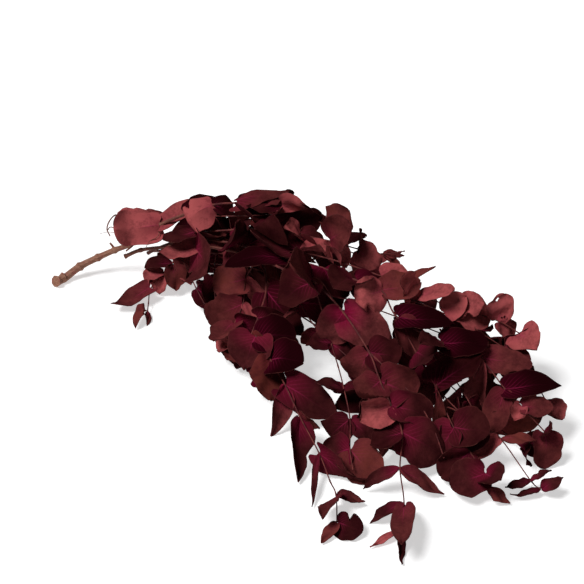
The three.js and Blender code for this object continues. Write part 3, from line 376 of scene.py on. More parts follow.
add_shoot(wide=(1.8, 1.4), leafy=1, start=(0, 3), points=[
    (246, 279, 52), (243, 304, 42), (235, 323, 32), (234, 339, 26), (238, 356, 16),
], leaves=[
    (1, 213, 288, 0, 40, 15, 7, 20, "round"), (1, 279, 309, 2, 22, -35, 13, 20, "oval"),
    (2, 205, 321, 0, 34, 0, 6, 15, "square"), (2, 262, 329, 4, 13, 25, 11, 10, "oval"),
    (3, 213, 343, 0, 30, 40, 11, 20, "round"), (4, 252, 341, 4, 20, 30, 11, 20, "round"),
    (4, 216, 349, 0, 26, 40, 11, 20, "round"), (5, 240, 371, 0, 14, 30, 11, 20, "oval"),
    (5, 226, 360, 0, 20, 40, 11, 20, "round"),
])
add_shoot(wide=(1.8, 1.4), leafy=1, start=(0, 1), points=[
    (172, 264, 28), (164, 272, 20), (151, 288, 11), (148.5, 303, 7), (147.5, 312, 5),
], leaves=[
    (1, 139, 265, 2, 14, 30, 11, 30, "oval"), (1, 176, 291, 0, 24, 30, 11, 20, "oval"),
    (2, 134, 282, 4, 18, 40, 16, 20, "oval"), (2, 158, 295, 0, 20, 30, 11, 20, "oval"),
    (3, 110, 313, 0, 22, 30, 14, 10, "heart"), (4, 134, 327, 0, 13, 30, 11, 50, "oval"),
    (5, 149, 326, 0, 8, 30, 11, 10, "blade"),
])
add_shoot(wide=(1.9, 1.4), leafy=1, start=(0, 1), points=[
    (187, 268, 26), (196, 288, 20), (208, 310, 14),
])
add_shoot(wide=(1.9, 1.4), leafy=1, start=(0, 2), points=[
    (214, 276, 42), (216, 302, 34), (224, 328, 24), (230, 348, 16),
])
add_shoot(wide=(1.9, 1.4), leafy=1, start=(0, 5), points=[
    (250, 338, 36), (244, 356, 28), (252, 376, 20),
])

add_stem("stem_5_under_shoots")
add_shoot(wide=(3.4, 1.4), leafy=1, points=[
    (158, 254, 9), (200, 262, 20), (230, 276, 26), (275, 300, 28), (315, 325, 28), (356, 352, 24),
    (380, 390, 20), (390, 430, 13),
], leaves=[
    (1, 188, 290, 4, 36, 20, 11, 20, "round"),
])
add_shoot(wide=(2.4, 1.5), leafy=1, start=(0, 0), points=[
    (185, 241, 24), (222, 228, 40), (262, 228, 46), (300, 234, 44), (336, 246, 38), (370, 260, 30),
], leaves=[
    (4, 322, 252, 0, 34, 20, 7, 20, "round"), (5, 326, 273, 0, 32, 20, 7, 20, "round"),
    (6, 357, 286, 0, 36, 20, 7, 20, "round"),
])
add_shoot(wide=(2.2, 1.5), leafy=1, start=(0, 1), points=[
    (250, 268, 30), (300, 286, 30), (350, 300, 28), (400, 318, 26), (445, 335, 22), (485, 352, 16),
], leaves=[
    (4, 436, 297, 0, 34, 20, 7, 20, "round"),
])
add_shoot(wide=(2.0, 1.4), leafy=1, start=(0, 1), points=[
    (206, 280, 22), (230, 300, 24), (252, 322, 21), (270, 350, 17), (284, 380, 13), (296, 412, 8),
])
add_shoot(wide=(1.9, 1.4), leafy=1, start=(2, 2), points=[
    (392, 342, 27), (430, 368, 24), (462, 396, 19), (492, 422, 13), (520, 446, 8),
], leaves=[
    (2, 424, 408, 0, 36, 10, 7, 20, "round"),
])

# How each listed leaf is dyed, by its stem and shoot and in the order of the shoot's list.
# r: rosy, t: tan-brown, c: crimson, w: dark wine, d: dark burgundy, b: plain burgundy, k: nearly
# black. The letters are partly each leaf's own dye and partly painted light and shade: leaves that
# lie in shade are given the dark letters, and some leaves that the lamps leave in shade are given
# rosy ones as painted light. A leaf that stands by rule takes its dye from the ruled list below.
DYES_AND_PAINTED_SHADE = {
    (0, 0): "rrrdbdbrd",
    (0, 1): "dbrbbrrtt",
    (0, 2): "drrtrrrrrrr",
    (0, 3): "dt",
    (0, 4): "rr",
    (1, 0): "rwdbccbdbbrwdwwbwbrd",
    (1, 1): "dwdddwwt",
    (2, 0): "drkdrtbkwkrbkbrbbd",
    (2, 1): "wrtdwwd",
    (2, 2): "dwdwwt",
    (2, 3): "rr",
    (2, 5): "r",
    (3, 0): "rtrrkwkcwwwwbbtd",
    (3, 1): "trbrbtrdt",
    (3, 2): "dtrrbtb",
    (4, 0): "d",
    (4, 1): "wdb",
    (4, 2): "w",
    (4, 4): "w",
}
# Painted shade: the leaves that stand by rule lie mostly inside the bunch, so dark dyes outnumber rosy
# ones.
RULED_DYES_AND_PAINTED_SHADE = "bdwtdrwdbtwd"
# tone (dark to rosy, partly painted light and shade), crimson share, brown share
DYE_AND_SHADE_MIX = {
    "r": (0.9, 0.2, 0.2),
    "t": (0.36, 0.1, 0.75),
    "c": (0.36, 0.85, 0.05),
    "w": (0.09, 0.4, 0.05),
    "d": (0.04, 0.12, 0.1),
    "b": (0.2, 0.25, 0.25),
    # k: nearly black, painted shade alone, for leaves that lie in deep shade.
    "k": (0.0, 0.1, 0.0),
}

# Faces that are missing from a listed leaf, by where its tip lies on the sheet: a worm hole
# and cracks. Each is given by its place along the leaf and across it.
HOLES = {
    (252, 341): [(0.12, 0.45)],
    (506, 294): [(0.75, 0.6), (0.68, 0.6), (0.2, -0.45), (0.22, -0.75), (0.16, -0.2)],
}

# How steeply the two halves of the angular leaves at the crest hang from their midrib, like a
# roof, by where a leaf's tip lies on the sheet.
ROOFED = {(113, 232): 0.5, (184, 222): 0.45, (165, 212): 0.4, (151, 211): 0.4, (290, 191): 0.5}

# Dry twigs, tendrils and buds: the stem, the radius at the foot and at the end, and the points on
# the layout sheet from the wood outwards.
TWIGS = [
    (0, 0.8, 0.6, [(124, 221, 58), (116, 215, 60), (109.5, 221, 60), (107, 229, 58), (110, 236, 57)]),
    (0, 0.6, 0.45, [(131, 230, 52), (120, 231, 55), (111, 227, 57), (107, 231, 57)]),
    (0, 0.3, 0.2, [(131, 230, 52), (118, 233, 55), (108, 232, 55), (99, 234, 54)]),
    (0, 1.4, 1.0, [(115, 250, 27), (112.5, 246, 30), (110, 243, 32)]),
    (0, 1.1, 0.8, [(136, 242, 40), (131, 247, 37), (126, 251, 34)]),
    (0, 0.5, 0.35, [(160, 225, 61), (158, 236, 56), (150, 241, 52), (146, 247, 49)]),
]

# broad: where along the leaf it is widest. point: how sharply it ends, and tip: how much more so
# at its tip. lobe: how far its two base lobes reach back past the stem, as a share of its length.
FORMS = {
    "round": dict(broad=0.42, point=0.5, tip=0.1, lobe=0.12),
    "heart": dict(broad=0.34, point=0.5, tip=0.6, lobe=0.14),
    "square": dict(broad=0.5, point=0.34, tip=0.0, lobe=0.1),
    "oval": dict(broad=0.42, point=0.6, tip=0.4, lobe=0.05),
    "blade": dict(broad=0.4, point=0.85, tip=0.5, lobe=0.02),
}


# ---- Small tools ----
def unit(v):
    return v / math.sqrt(v @ v)


def turned(v, axis, angle):
    """v turned by an angle about a unit axis."""
    across = np.cross(axis, v)
    return v * math.cos(angle) + across * math.sin(angle) + axis * (axis @ v) * (1 - math.cos(angle))


def draws(seed):
    """A seeded source of even draws between 0 and 1, the same one as in the part."""
    word = 0xFFFFFFFF
    stride = 0x6D2B79F5
    state = seed & word

    def draw():
        nonlocal state
        state = (state + stride) & word
        t = ((state ^ (state >> 15)) * (state | 1)) & word
        t = (t ^ (t + (((t ^ (t >> 7)) * (t | 61)) & word))) & word
        return (t ^ (t >> 14)) / (word + 1)

    return draw


def drawn(draw, least, spread):
    """A value drawn from a range."""
    return least + spread * draw()


def one_side(draw):
    """Either 1 or -1."""
    return 1 if draw() < 0.5 else -1


# ---- Layout: from the sheet to the part's frame ----
def place(point):
    """A layout point (across, down, height) in the part's frame."""
    across, down, height = point
    eye = TO_EYE * SIGHT_DISTANCE
    sight = np.array([across - SHEET / 2, 0, 0]) + SHEET_UP * (SHEET / 2 - down) - eye
    return eye + sight * (height - eye[2]) / sight[2] - BOTTOM_CENTRE


def on_sheet(point):
    """Where a point of the part lies on the layout sheet."""
    p = point + BOTTOM_CENTRE
    depth = SIGHT_DISTANCE - p @ TO_EYE
    return (
        SHEET / 2 + p[0] * SIGHT_DISTANCE / depth,
        SHEET / 2 - (p @ SHEET_UP) * SIGHT_DISTANCE / depth,
    )


def half_width(form, s):
    """How wide a leaf is at s along it, as a share of its greatest width."""
    q = s ** (math.log(0.5) / math.log(form["broad"]))
    return np.maximum(0, 4 * q * (1 - q)) ** (form["point"] + form["tip"] * s * s)


def leaf_surface(leaf, s, t, lobe_gain=1.0):
    """A leaf's middle surface at s along it and t across it, with its own upward direction."""
    form = FORMS[leaf["form"]]
    s, t = s[:, None], t[:, None]
    share = half_width(form, s)
    half = leaf["width"] / 2 * share
    length, bent = leaf["length"], leaf["bend"]
    bend = bent * s
    along = leaf["along"] * np.cos(bend) - leaf["face"] * np.sin(bend)
    face = leaf["face"] * np.cos(bend) + leaf["along"] * np.sin(bend)
    curl = leaf["fold"] * (0.5 + 0.8 * np.abs(t))
    twist = leaf["twist"] * s
    side = leaf["side"] * np.cos(twist) + face * np.sin(twist)
    lift = face * np.cos(twist) - leaf["side"] * np.sin(twist)
    flat = abs(bent) < 1e-3
    arc = length * s if flat else length * np.sin(bend) / bent
    drop = 0 * s if flat else length * (1 - np.cos(bend)) / bent
    back = lobe_gain * leaf["lobes"] * form["lobe"] * length * t * t * (1 - s) ** 4 * share
    wave = leaf["wave"] * half * t * t * np.sin(leaf["phase"] + 5 * s + np.sign(t))
    p = leaf["base"] + leaf["along"] * arc - leaf["face"] * drop
    p = p + side * (t * half * np.cos(curl))
    p = p + lift * (np.abs(t) * half * np.sin(curl) + wave)
    return p - along * back, lift


# ---- Leaves: their poses ----
def posed(base, chord, face, look):
    """A leaf's frame from its base-to-tip line and its face, bent so that the tip stays put."""
    length = math.sqrt(chord @ chord)
    c = chord / length
    n = unit(face - c * (face @ c))
    half = look["bend"] / 2
    return dict(
        look,
        base=base,
        along=c * math.cos(half) + n * math.sin(half),
        face=n * math.cos(half) - c * math.sin(half),
        side=np.cross(n, c),
        length=length if abs(half) < 1e-3 else length * half / math.sin(half),
    )


def bent_leaf(seedling, k):
    """The same leaf in its k-th pose, as the part has it."""
    c = unit(seedling["chord"])
    look = dict(seedling["look"])
    if seedling["by_hand"]:
        rolled, way = divmod(k, len(DEPTHS))
        roll, share = ROLLS[rolled]
        chord = (seedling["chord"] + seedling["sight"] * DEPTHS[way]) * share
        face = turned(seedling["face"], c, math.radians(roll))
        look["width"] *= share
        look["lobes"] = 0 if share < 1 else 1
        return posed(seedling["base"], chord, face, look)
    swing = k % SWINGS
    reach = 0 if swing == 0 else math.radians(SWING["first"] + SWING["step"] * swing)
    way = swing * SWING["way"]
    side = unit(np.cross(seedling["face"], c))
    lift = reach * math.cos(way)
    yaw = SWING["yaw"] * reach * math.sin(way)
    roll = reach * math.sin(SWING["roll"] * way)

    def spin(v):
        return turned(turned(turned(v, c, roll), side, lift), seedling["face"], yaw)

    share = SMALLER[k // SWINGS]
    look["width"] *= share
    return posed(seedling["base"], spin(seedling["chord"]) * share, spin(seedling["face"]), look)


def shoot_frames(stem, shoot):
    """The points of a shoot, each with its own frame: ahead along the wood, level and upward."""
    points = [place(p) for p in shoot["points"]]
    if shoot["start"]:
        parent, node = shoot["start"]
        points.insert(0, place(stem["shoots"][parent]["points"][node]))
    frames = []
    for i, at in enumerate(points):
        ahead = unit(points[min(len(points) - 1, i + 1)] - points[max(0, i - 1)])
        level = unit(np.cross([0, 0, 1], ahead))
        frames.append(dict(at=at, ahead=ahead, level=level, upward=np.cross(ahead, level)))
    return frames


def hand_leaf(here, row, draw):
    """A listed leaf, in its first pose, from its row in the layout."""
    _, across, down, lean, width, roll, fold, bend, form = row
    x0, y0 = on_sheet(here["at"])
    rise = (y0 - down) * math.cos(SIGHT_ANGLE) + lean
    chord = place((across, down, max(LOWEST_TIP, here["at"][2] + rise))) - here["at"]
    c = unit(chord)
    square = unit(TO_EYE - c * (TO_EYE @ c))
    face = turned(square, c, math.radians(roll) * (1 if across < x0 else -1))
    look = dict(
        width=width,
        fold=math.radians(fold),
        bend=math.radians(bend),
        wave=HAND_WAVE,
        form=form,
        aim=(across, down),
    )
    look["twist"] = HAND_TWIST * (draw() - 0.5)
    look["phase"] = FULL_TURN * draw()
    sight = unit(TO_EYE * SIGHT_DISTANCE - BOTTOM_CENTRE - here["at"] - chord)
    short = max(0, (SMALLEST_REACH * width) ** 2 - chord @ chord)
    deeper = 0 if form == "blade" else math.sqrt(short) * (-1 if lean < 0 else 1)
    chord = chord + sight * deeper
    return dict(by_hand=True, base=here["at"], chord=chord, face=face, sight=sight, look=look)


def ruled_leaf(here, out, vigour, draw):
    """A leaf that stands by rule, in its first pose. vigour is its size as a share."""
    stance = STANCE + STANCE_SPREAD * (draw() - 0.5)
    length = LEAF_LENGTH * vigour * drawn(draw, *RULED_LENGTH)
    c = here["ahead"] * math.cos(stance) + out * math.sin(stance)
    square = here["ahead"] * math.sin(stance) - out * math.cos(stance)
    look = dict(
        width=LEAF_WIDTH * vigour * drawn(draw, *RULED_WIDTH),
        fold=math.radians(drawn(draw, *RULED_FOLD)),
        bend=math.radians(drawn(draw, *RULED_BEND)),
        twist=RULED_TWIST * (draw() - 0.5),
        wave=RULED_WAVE,
        phase=FULL_TURN * draw(),
        form="round" if draw() < ROUND_SHARE else "heart",
        lobes=1,
    )
    chord = unit(c + SAGGING) * length
    return dict(by_hand=False, base=here["at"], chord=chord, face=unit(square + LEVELLED), look=look)


def seedlings(shoot, frames, seed, dyes):
    """All leaves of a shoot in their first poses, in the part's own order and by its own draws."""
    found = []
    dyes = iter(dyes)
    for i in range(shoot["leafy"], len(frames)):
        draw = draws(seed * 1009 + i * 31 + 7)
        here = frames[i]
        pair = [hand_leaf(here, row, draw) for row in shoot["leaves"] if row[0] == i]
        for leaf in pair:
            leaf["out"] = unit(leaf["chord"] - here["ahead"] * (leaf["chord"] @ here["ahead"]))
            leaf["dye"] = next(dyes)
        azimuth = i * math.pi / 2 + AZIMUTH_SPREAD * (draw() - 0.5) + seed
        first = here["level"] * math.cos(azimuth) + here["upward"] * math.sin(azimuth)
        vigour = 1 - WEAKER * max(0, (i - shoot["leafy"]) / len(frames) - WEAKER_FROM)
        while len(pair) < 2:
            out = -pair[0]["out"] if pair else first
            leaf = ruled_leaf(here, out, vigour, draw)
            leaf["out"] = out
            leaf["dye"] = RULED_DYES_AND_PAINTED_SHADE[(7 * seed + 3 * i + 5 * len(pair)) % len(RULED_DYES_AND_PAINTED_SHADE)]
            pair.append(leaf)
        found += pair
    return found


def blade_corners(leaf, rows):
    """The corners that a leaf's blade has in the part, on both of its faces."""
    s = np.array([r for r in rows for _ in range(3)] + [1.0])
    t = np.array([-1.0, 0.0, 1.0] * len(rows) + [0.0])
    middle, _ = leaf_surface(leaf, s, t)
    tip = len(middle) - 1
    faces = [(tip - 3, tip, tip - 2), (tip - 2, tip, tip - 1)]
    for a in range(0, tip - 3, 3):
        faces += [(a, a + 3, a + 4), (a, a + 4, a + 1), (a + 1, a + 4, a + 5), (a + 1, a + 5, a + 2)]
    normals = np.zeros((tip + 1, 3))
    for a, b, c in faces:
        normal = np.cross(middle[b] - middle[a], middle[c] - middle[a])
        normals[[a, b, c]] += normal
    normals *= BLADE_HALF / np.linalg.norm(normals, axis=1)[:, None]
    return np.concatenate([middle + normals, middle - normals])


def standing_pose(seedling, corners_near):
    """The pose in which the part has most of this leaf's corners, or None where the part leaves
    the leaf out."""
    rows = ROWS_BY_HAND if seedling["by_hand"] else ROWS_BY_RULE
    tries = len(DEPTHS) * len(ROLLS) if seedling["by_hand"] else len(SMALLER) * SWINGS
    best, most = None, len(rows) * 3
    probe_s, probe_t = np.array([1.0, rows[1]]), np.array([0.0, 0.0])
    for k in range(tries):
        leaf = bent_leaf(seedling, k)
        probes, _ = leaf_surface(leaf, probe_s, probe_t)
        if not any(abs(corners_near(p) - BLADE_HALF) < SAME_SPOT for p in probes):
            continue
        corners = blade_corners(leaf, rows)
        same = sum(corners_near(p) < SAME_SPOT for p in corners)
        if same > most:
            best, most = leaf, same
        if same == len(corners):
            break
    return best


def standing_leaves(stem_index):
    """All leaves that the part has on one stem, in the poses that it has them in."""
    stem = STEMS[stem_index]
    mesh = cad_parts[stem["name"]].data
    tree = kdtree.KDTree(len(mesh.vertices))
    for i, vertex in enumerate(mesh.vertices):
        tree.insert(vertex.co / MM, i)
    tree.balance()
    grown = []
    for i, shoot in enumerate(stem["shoots"]):
        frames = shoot_frames(stem, shoot)
        seed = 10 * stem_index + i + 1
        for seedling in seedlings(shoot, frames, seed, DYES_AND_PAINTED_SHADE.get((stem_index, i), "")):
            leaf = standing_pose(seedling, lambda p: tree.find(p)[2])
            if leaf:
                leaf["dye"] = seedling["dye"]
                leaf["by_hand"] = seedling["by_hand"]
                leaf["seed"] = seed * 97 + len(grown)
                grown.append(leaf)
    return grown


# The corners of the part's whole mesh, by which a leaf is found to be open or covered, and so how
# far it is darkened as painted shade.
ALL_CORNERS = np.array([v.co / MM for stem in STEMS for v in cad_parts[stem["name"]].data.vertices])


# ---- Small helpers for objects ----
def only(*objects):
    """Selects just these objects and makes the last one active."""
    bpy.ops.object.select_all(action="DESELECT")
    for piece in objects:
        piece.select_set(True)
        bpy.context.view_layer.objects.active = piece


def joined(objects, name):
    """Several objects made into one."""
    only(*objects)
    bpy.ops.object.join()
    whole = bpy.context.object
    whole.name = whole.data.name = name
    return whole


def paint(mesh, name, colours):
    """Stores one colour for each vertex, or one for all of them."""
    layer = mesh.color_attributes.new(name, "FLOAT_COLOR", "POINT")
    values = np.broadcast_to(np.asarray(colours, dtype=float), (len(mesh.vertices), 4))
    layer.data.foreach_set("color", values.ravel())


# ---- Leaves: their meshes ----
def worn_outline(leaf, s, t, draw):
    """t drawn in or out towards the margin: blunt corners with straight runs between them, small
    teeth, and a torn piece on some leaves."""
    edge = np.abs(t)
    right = np.sign(t)
    coarse, fine = TEETH_BEATS
    worn = TEETH * np.sin(coarse * s + FULL_TURN * draw()) * np.sin(fine * s + FULL_TURN * draw())
    bays = BAYS * (DEEPER_BAYS if leaf.get("aim") in ROOFED else 1)
    for side in (-1, 1):
        corners = [0, *np.cumsum([drawn(draw, *CORNER_RUN) for _ in range(CORNERS)])]
        depths = [bays * (2 * draw() - 1) for _ in corners]
        worn = worn + np.interp(s, corners, depths) * (right == side)
    torn_at = drawn(draw, *TORN_PLACE)
    torn_side = one_side(draw)
    if draw() < TORN_SHARE:
        away = np.abs(s - torn_at) / drawn(draw, *TORN_REACH)
        depth = drawn(draw, *TORN_DEPTH)
        worn = worn - depth * np.clip(TORN_FLAT - away, 0, 1) * (right == torn_side)
    return t * (1 + worn * edge**2)


def creased(leaf, points, s, t, lift, draw):
    """Turns what lies beyond a crease, a tip or one margin, up or down about it."""
    a = s * leaf["length"]
    b = t * leaf["width"] / 2 * half_width(FORMS[leaf["form"]], s)
    slant = CREASE_SLANT * (draw() - 0.5)
    if draw() < 0.5:
        ahead = 1.0
        level = math.tan(slant)
        start = drawn(draw, *TIP_CREASE) * leaf["length"]
    else:
        ahead = slant
        level = one_side(draw)
        start = drawn(draw, *SIDE_CREASE) * leaf["width"] + slant * leaf["length"] / 2
    size = math.hypot(ahead, level)
    ahead, level = ahead / size, level / size
    beyond = np.maximum(0, ahead * a + level * b - start / size)
    fold = drawn(draw, *CREASE_ANGLE) * one_side(draw)
    outward = leaf["along"] * ahead + leaf["side"] * level
    turn = outward * (math.cos(fold) - 1) + lift * math.sin(fold)
    return points + turn * beyond[:, None]


def relief(leaf, s, t, draw):
    """How far a dried leaf rises or falls from its main form: ripples, a rolled margin, a curled
    tip, dents, and on a few leaves two halves that hang like a roof."""
    edge = np.abs(t)
    half = leaf["width"] / 2 * half_width(FORMS[leaf["form"]], s)
    ripple = sum(share * np.sin(a * s + b * t + FULL_TURN * draw()) for a, b, share in RIPPLES)
    where = np.exp(-(((s - draw()) / ROLLED_RUN) ** 2)) * (np.sign(t) == one_side(draw))
    rolled = (2 * draw() - 1) * ROLLED_MARGIN * half * np.maximum(0, edge - ROLLED_FROM) ** 2 * where
    tip = (2 * draw() - 1) * CURLED_TIP * leaf["length"] * np.maximum(0, s - CURLED_FROM) ** 2
    a, b = DENT_BEATS
    dents = DENT * np.sin(a * s + b * t + FULL_TURN * draw()) * (1 - edge)
    roof = ROOFED.get(leaf.get("aim"), 0) * half * (0.5 - edge)
    return RIPPLE * ripple * edge + rolled + tip + dents + roof


def cover(spot):
    """How much of the bunch lies over a spot, from 0 for open to 1."""
    near = np.hypot(*(ALL_CORNERS[:, :2] - spot[:2]).T) < COVER_REACH
    over = ALL_CORNERS[near, 2] > spot[2] + COVER_HEIGHT
    return min(1, over.sum() / COVER_FULL)


def pierced(blade, s, t, holes):
    """Takes the faces at some places out of a leaf."""
    mesh = blade.data
    corners = [list(face.vertices) for face in mesh.polygons]
    middles = np.array([[s[ring].mean(), t[ring].mean()] for ring in corners])
    only(blade)
    bpy.ops.object.mode_set(mode="EDIT")
    bpy.ops.mesh.select_mode(type="FACE")
    bpy.ops.mesh.select_all(action="DESELECT")
    bpy.ops.object.mode_set(mode="OBJECT")
    for hole in holes:
        mesh.polygons[int(np.hypot(*(middles - hole).T).argmin())].select = True
    bpy.ops.object.mode_set(mode="EDIT")
    bpy.ops.mesh.delete(type="FACE")
    bpy.ops.object.mode_set(mode="OBJECT")


def grow_blade(blank, leaf):
    """One leaf: a copy of the flat blank, bent to the leaf's own surface."""
    blade = blank.copy()
    blade.data = blank.data.copy()
    bpy.context.scene.collection.objects.link(blade)
    mesh = blade.data
    flat = np.empty(3 * len(mesh.vertices))
    mesh.vertices.foreach_get("co", flat)
    flat = flat.reshape(-1, 3)
    s = BLADE_START + (BLADE_END - BLADE_START) * (1 - np.cos(np.pi * (flat[:, 1] + 0.5))) / 2
    t = -2 * flat[:, 0]
    draw = draws(leaf["seed"])
    surface, lift = leaf_surface(leaf, s, worn_outline(leaf, s, t, draw), LOBE_GAIN)
    surface = surface + lift * relief(leaf, s, t, draw)[:, None]
    if draw() < CREASED_SHARE:
        surface = creased(leaf, surface, s, t, lift, draw)
    surface[:, 2] = np.maximum(surface[:, 2], LOWEST)
    mesh.vertices.foreach_set("co", (surface * MM).ravel())
    corners = np.empty(len(mesh.loops), dtype=int)
    mesh.loops.foreach_get("vertex_index", corners)
    across_along = np.column_stack([(1 + t) / 2, s])[corners]
    mesh.uv_layers[0].data.foreach_set("uv", across_along.ravel())
    # The dye's tone is partly painted light and shade, as the dye letters are.
    tone, crimson, brown = DYE_AND_SHADE_MIX[leaf["dye"]]
    # Painted shade: a leaf that stands by rule is darkened by how much of the bunch lies over it.
    covered = 0 if leaf["by_hand"] else cover(surface[len(surface) // 2])
    tone = min(1, tone * (1 + TONE_SPREAD * (draw() - 0.5)) * (1 - PAINTED_SHADE_UNDER_COVER * covered))
    paint(mesh, "dye", (tone, crimson, brown, 1))
    if leaf.get("aim") in HOLES:
        pierced(blade, s, t, HOLES[leaf["aim"]])
    return blade


# ---- Wood ----
def smooth_path(points, radii, step):
    """A smooth line through points, cut into lengths of about step. Each of its places comes
    with its radius and with how far the nearest point is."""
    ends = [2 * points[0] - points[1], *points, 2 * points[-1] - points[-2]]
    line, wide, away = [], [], []
    for i in range(len(points) - 1):
        a, b, c, d = ends[i : i + 4]
        span = math.sqrt((c - b) @ (c - b))
        cuts = max(2, round(span / step))
        for u in np.arange(cuts) / cuts:
            line.append(
                0.5 * (2 * b + (c - a) * u + (2 * a - 5 * b + 4 * c - d) * u * u)
                + 0.5 * (3 * b - a - 3 * c + d) * u**3
            )
            wide.append(radii[i] + (radii[i + 1] - radii[i]) * u)
            away.append(min(u, 1 - u) * span)
    line.append(points[-1])
    wide.append(radii[-1])
    away.append(0)
    return np.array(line), np.array(wide), np.array(away)


def round_wood(line, radii, woody):
    """A round, closed length of wood along a line, as a mesh object. woody says how old its bark
    is at each place of the line, from 0 to 1."""
    bpy.ops.object.select_all(action="DESELECT")
    bpy.ops.curve.primitive_nurbs_path_add()
    path = bpy.context.object
    curve = path.data
    curve.splines.clear()
    spline = curve.splines.new("POLY")
    spline.points.add(len(line) - 1)
    spline.points.foreach_set("co", np.column_stack([line * MM, np.ones(len(line))]).ravel())
    spline.points.foreach_set("radius", radii)
    curve.bevel_depth = MM
    curve.bevel_resolution = WOOD_ROUNDNESS
    curve.use_fill_caps = True
    path.location = (0, 0, 0)
    bpy.ops.object.convert(target="MESH")
    wood = bpy.context.object
    places = np.empty(3 * len(wood.data.vertices))
    wood.data.vertices.foreach_get("co", places)
    gaps = np.linalg.norm(places.reshape(-1, 1, 3) / MM - line[None], axis=2)
    age = woody[gaps.argmin(axis=1)]
    paint(wood.data, "bark", np.column_stack([age, age, age, np.ones(len(age))]))
    return wood


def shoot_wood(stem, shoot):
    """The wood of a shoot, which thins out along its length and swells at its nodes."""
    points = [f["at"] for f in shoot_frames(stem, shoot)]
    foot, end = shoot["wide"]
    count = len(points)
    shares = [(1 - i / (count - 1)) ** TAPER for i in range(count)]
    radii = [(foot * share + end * (1 - share)) / 2 for share in shares]
    line, wide, away = smooth_path(points, radii, WOOD_STEP)
    woody = np.clip((wide - YOUNG_RADIUS) / (OLD_RADIUS - YOUNG_RADIUS), 0, 1)
    swell = 1 + NODE_SWELL * np.exp(-((away / NODE_RUN) ** 2))
    wide = wide * (1 - SLIMMER * (1 - woody)) * swell
    line[:, 2] = np.maximum(line[:, 2], wide)
    return round_wood(line, wide, woody)


def twig_wood(foot, end, points):
    """A dry twig, tendril or bud, from its row in TWIGS."""
    radii = np.linspace(foot, end, len(points))
    line, wide, _ = smooth_path([place(p) for p in points], radii, WOOD_STEP / 2)
    return round_wood(line, wide, np.full(len(line), TWIG_BARK))


# ---- Finishes ----
class Shade:
    """Adds nodes to a tree one after another."""

    def __init__(self, tree):
        self.tree = tree

    def node(self, kind, *inputs, **settings):
        """A node of this kind. Each input is a socket, a value, or None to leave it as it is."""
        made = self.tree.nodes.new(kind)
        for name, value in settings.items():
            setattr(made, name, value)
        for i, value in enumerate(inputs):
            if isinstance(value, bpy.types.NodeSocket):
                self.tree.links.new(value, made.inputs[i])
            elif value is not None:
                made.inputs[i].default_value = value
        return made

    def math(self, operation, a, b=None, c=None):
        return self.node("ShaderNodeMath", a, b, c, operation=operation).outputs[0]

    def place(self):
        return self.node("ShaderNodeTexCoord").outputs["Object"]

    def noise(self, place, pattern):
        return self.node("ShaderNodeTexNoise", place, None, *pattern).outputs[0]

    def ramp(self, value, low, high, to_low=0.0, to_high=1.0):
        """value between low and high, smoothly taken to between to_low and to_high."""
        ends = (low, high, to_low, to_high)
        made = self.node("ShaderNodeMapRange", value, *ends, interpolation_type="SMOOTHSTEP")
        return made.outputs["Result"]

    def mix(self, share, a, b):
        """Colour a taken towards colour b. The node has its two colours in its sockets 6 and 7."""
        colours = (None, None, None, None, None, a, b)
        return self.node("ShaderNodeMix", share, *colours, data_type="RGBA").outputs[2]

    def bump(self, surface, height, strength, distance):
        made = self.node("ShaderNodeBump", strength, distance * MM)
        self.tree.links.new(height, made.inputs["Height"])
        self.tree.links.new(made.outputs[0], surface.inputs["Normal"])

    def colour(self, surface, value):
        self.tree.links.new(value, surface.inputs["Base Color"])


def new_group(name, inputs, outputs):
    """A new node group with the named sockets, and its two end nodes."""
    group = bpy.data.node_groups.new(name, "ShaderNodeTree")
    for title, kind in inputs.items():
        group.interface.new_socket(title, in_out="INPUT", socket_type=kind)
    for title, kind in outputs.items():
        group.interface.new_socket(title, in_out="OUTPUT", socket_type=kind)
    return group, group.nodes.new("NodeGroupInput"), group.nodes.new("NodeGroupOutput")


def new_finish(name, roughness, gloss):
    """A new material: the tool that adds its nodes, and its shader."""
    material = bpy.data.materials.new(name)
    material.use_nodes = True
    surface = material.node_tree.nodes["Principled BSDF"]
    surface.inputs["Roughness"].default_value = roughness
    surface.inputs["Specular IOR Level"].default_value = gloss
    return Shade(material.node_tree), surface


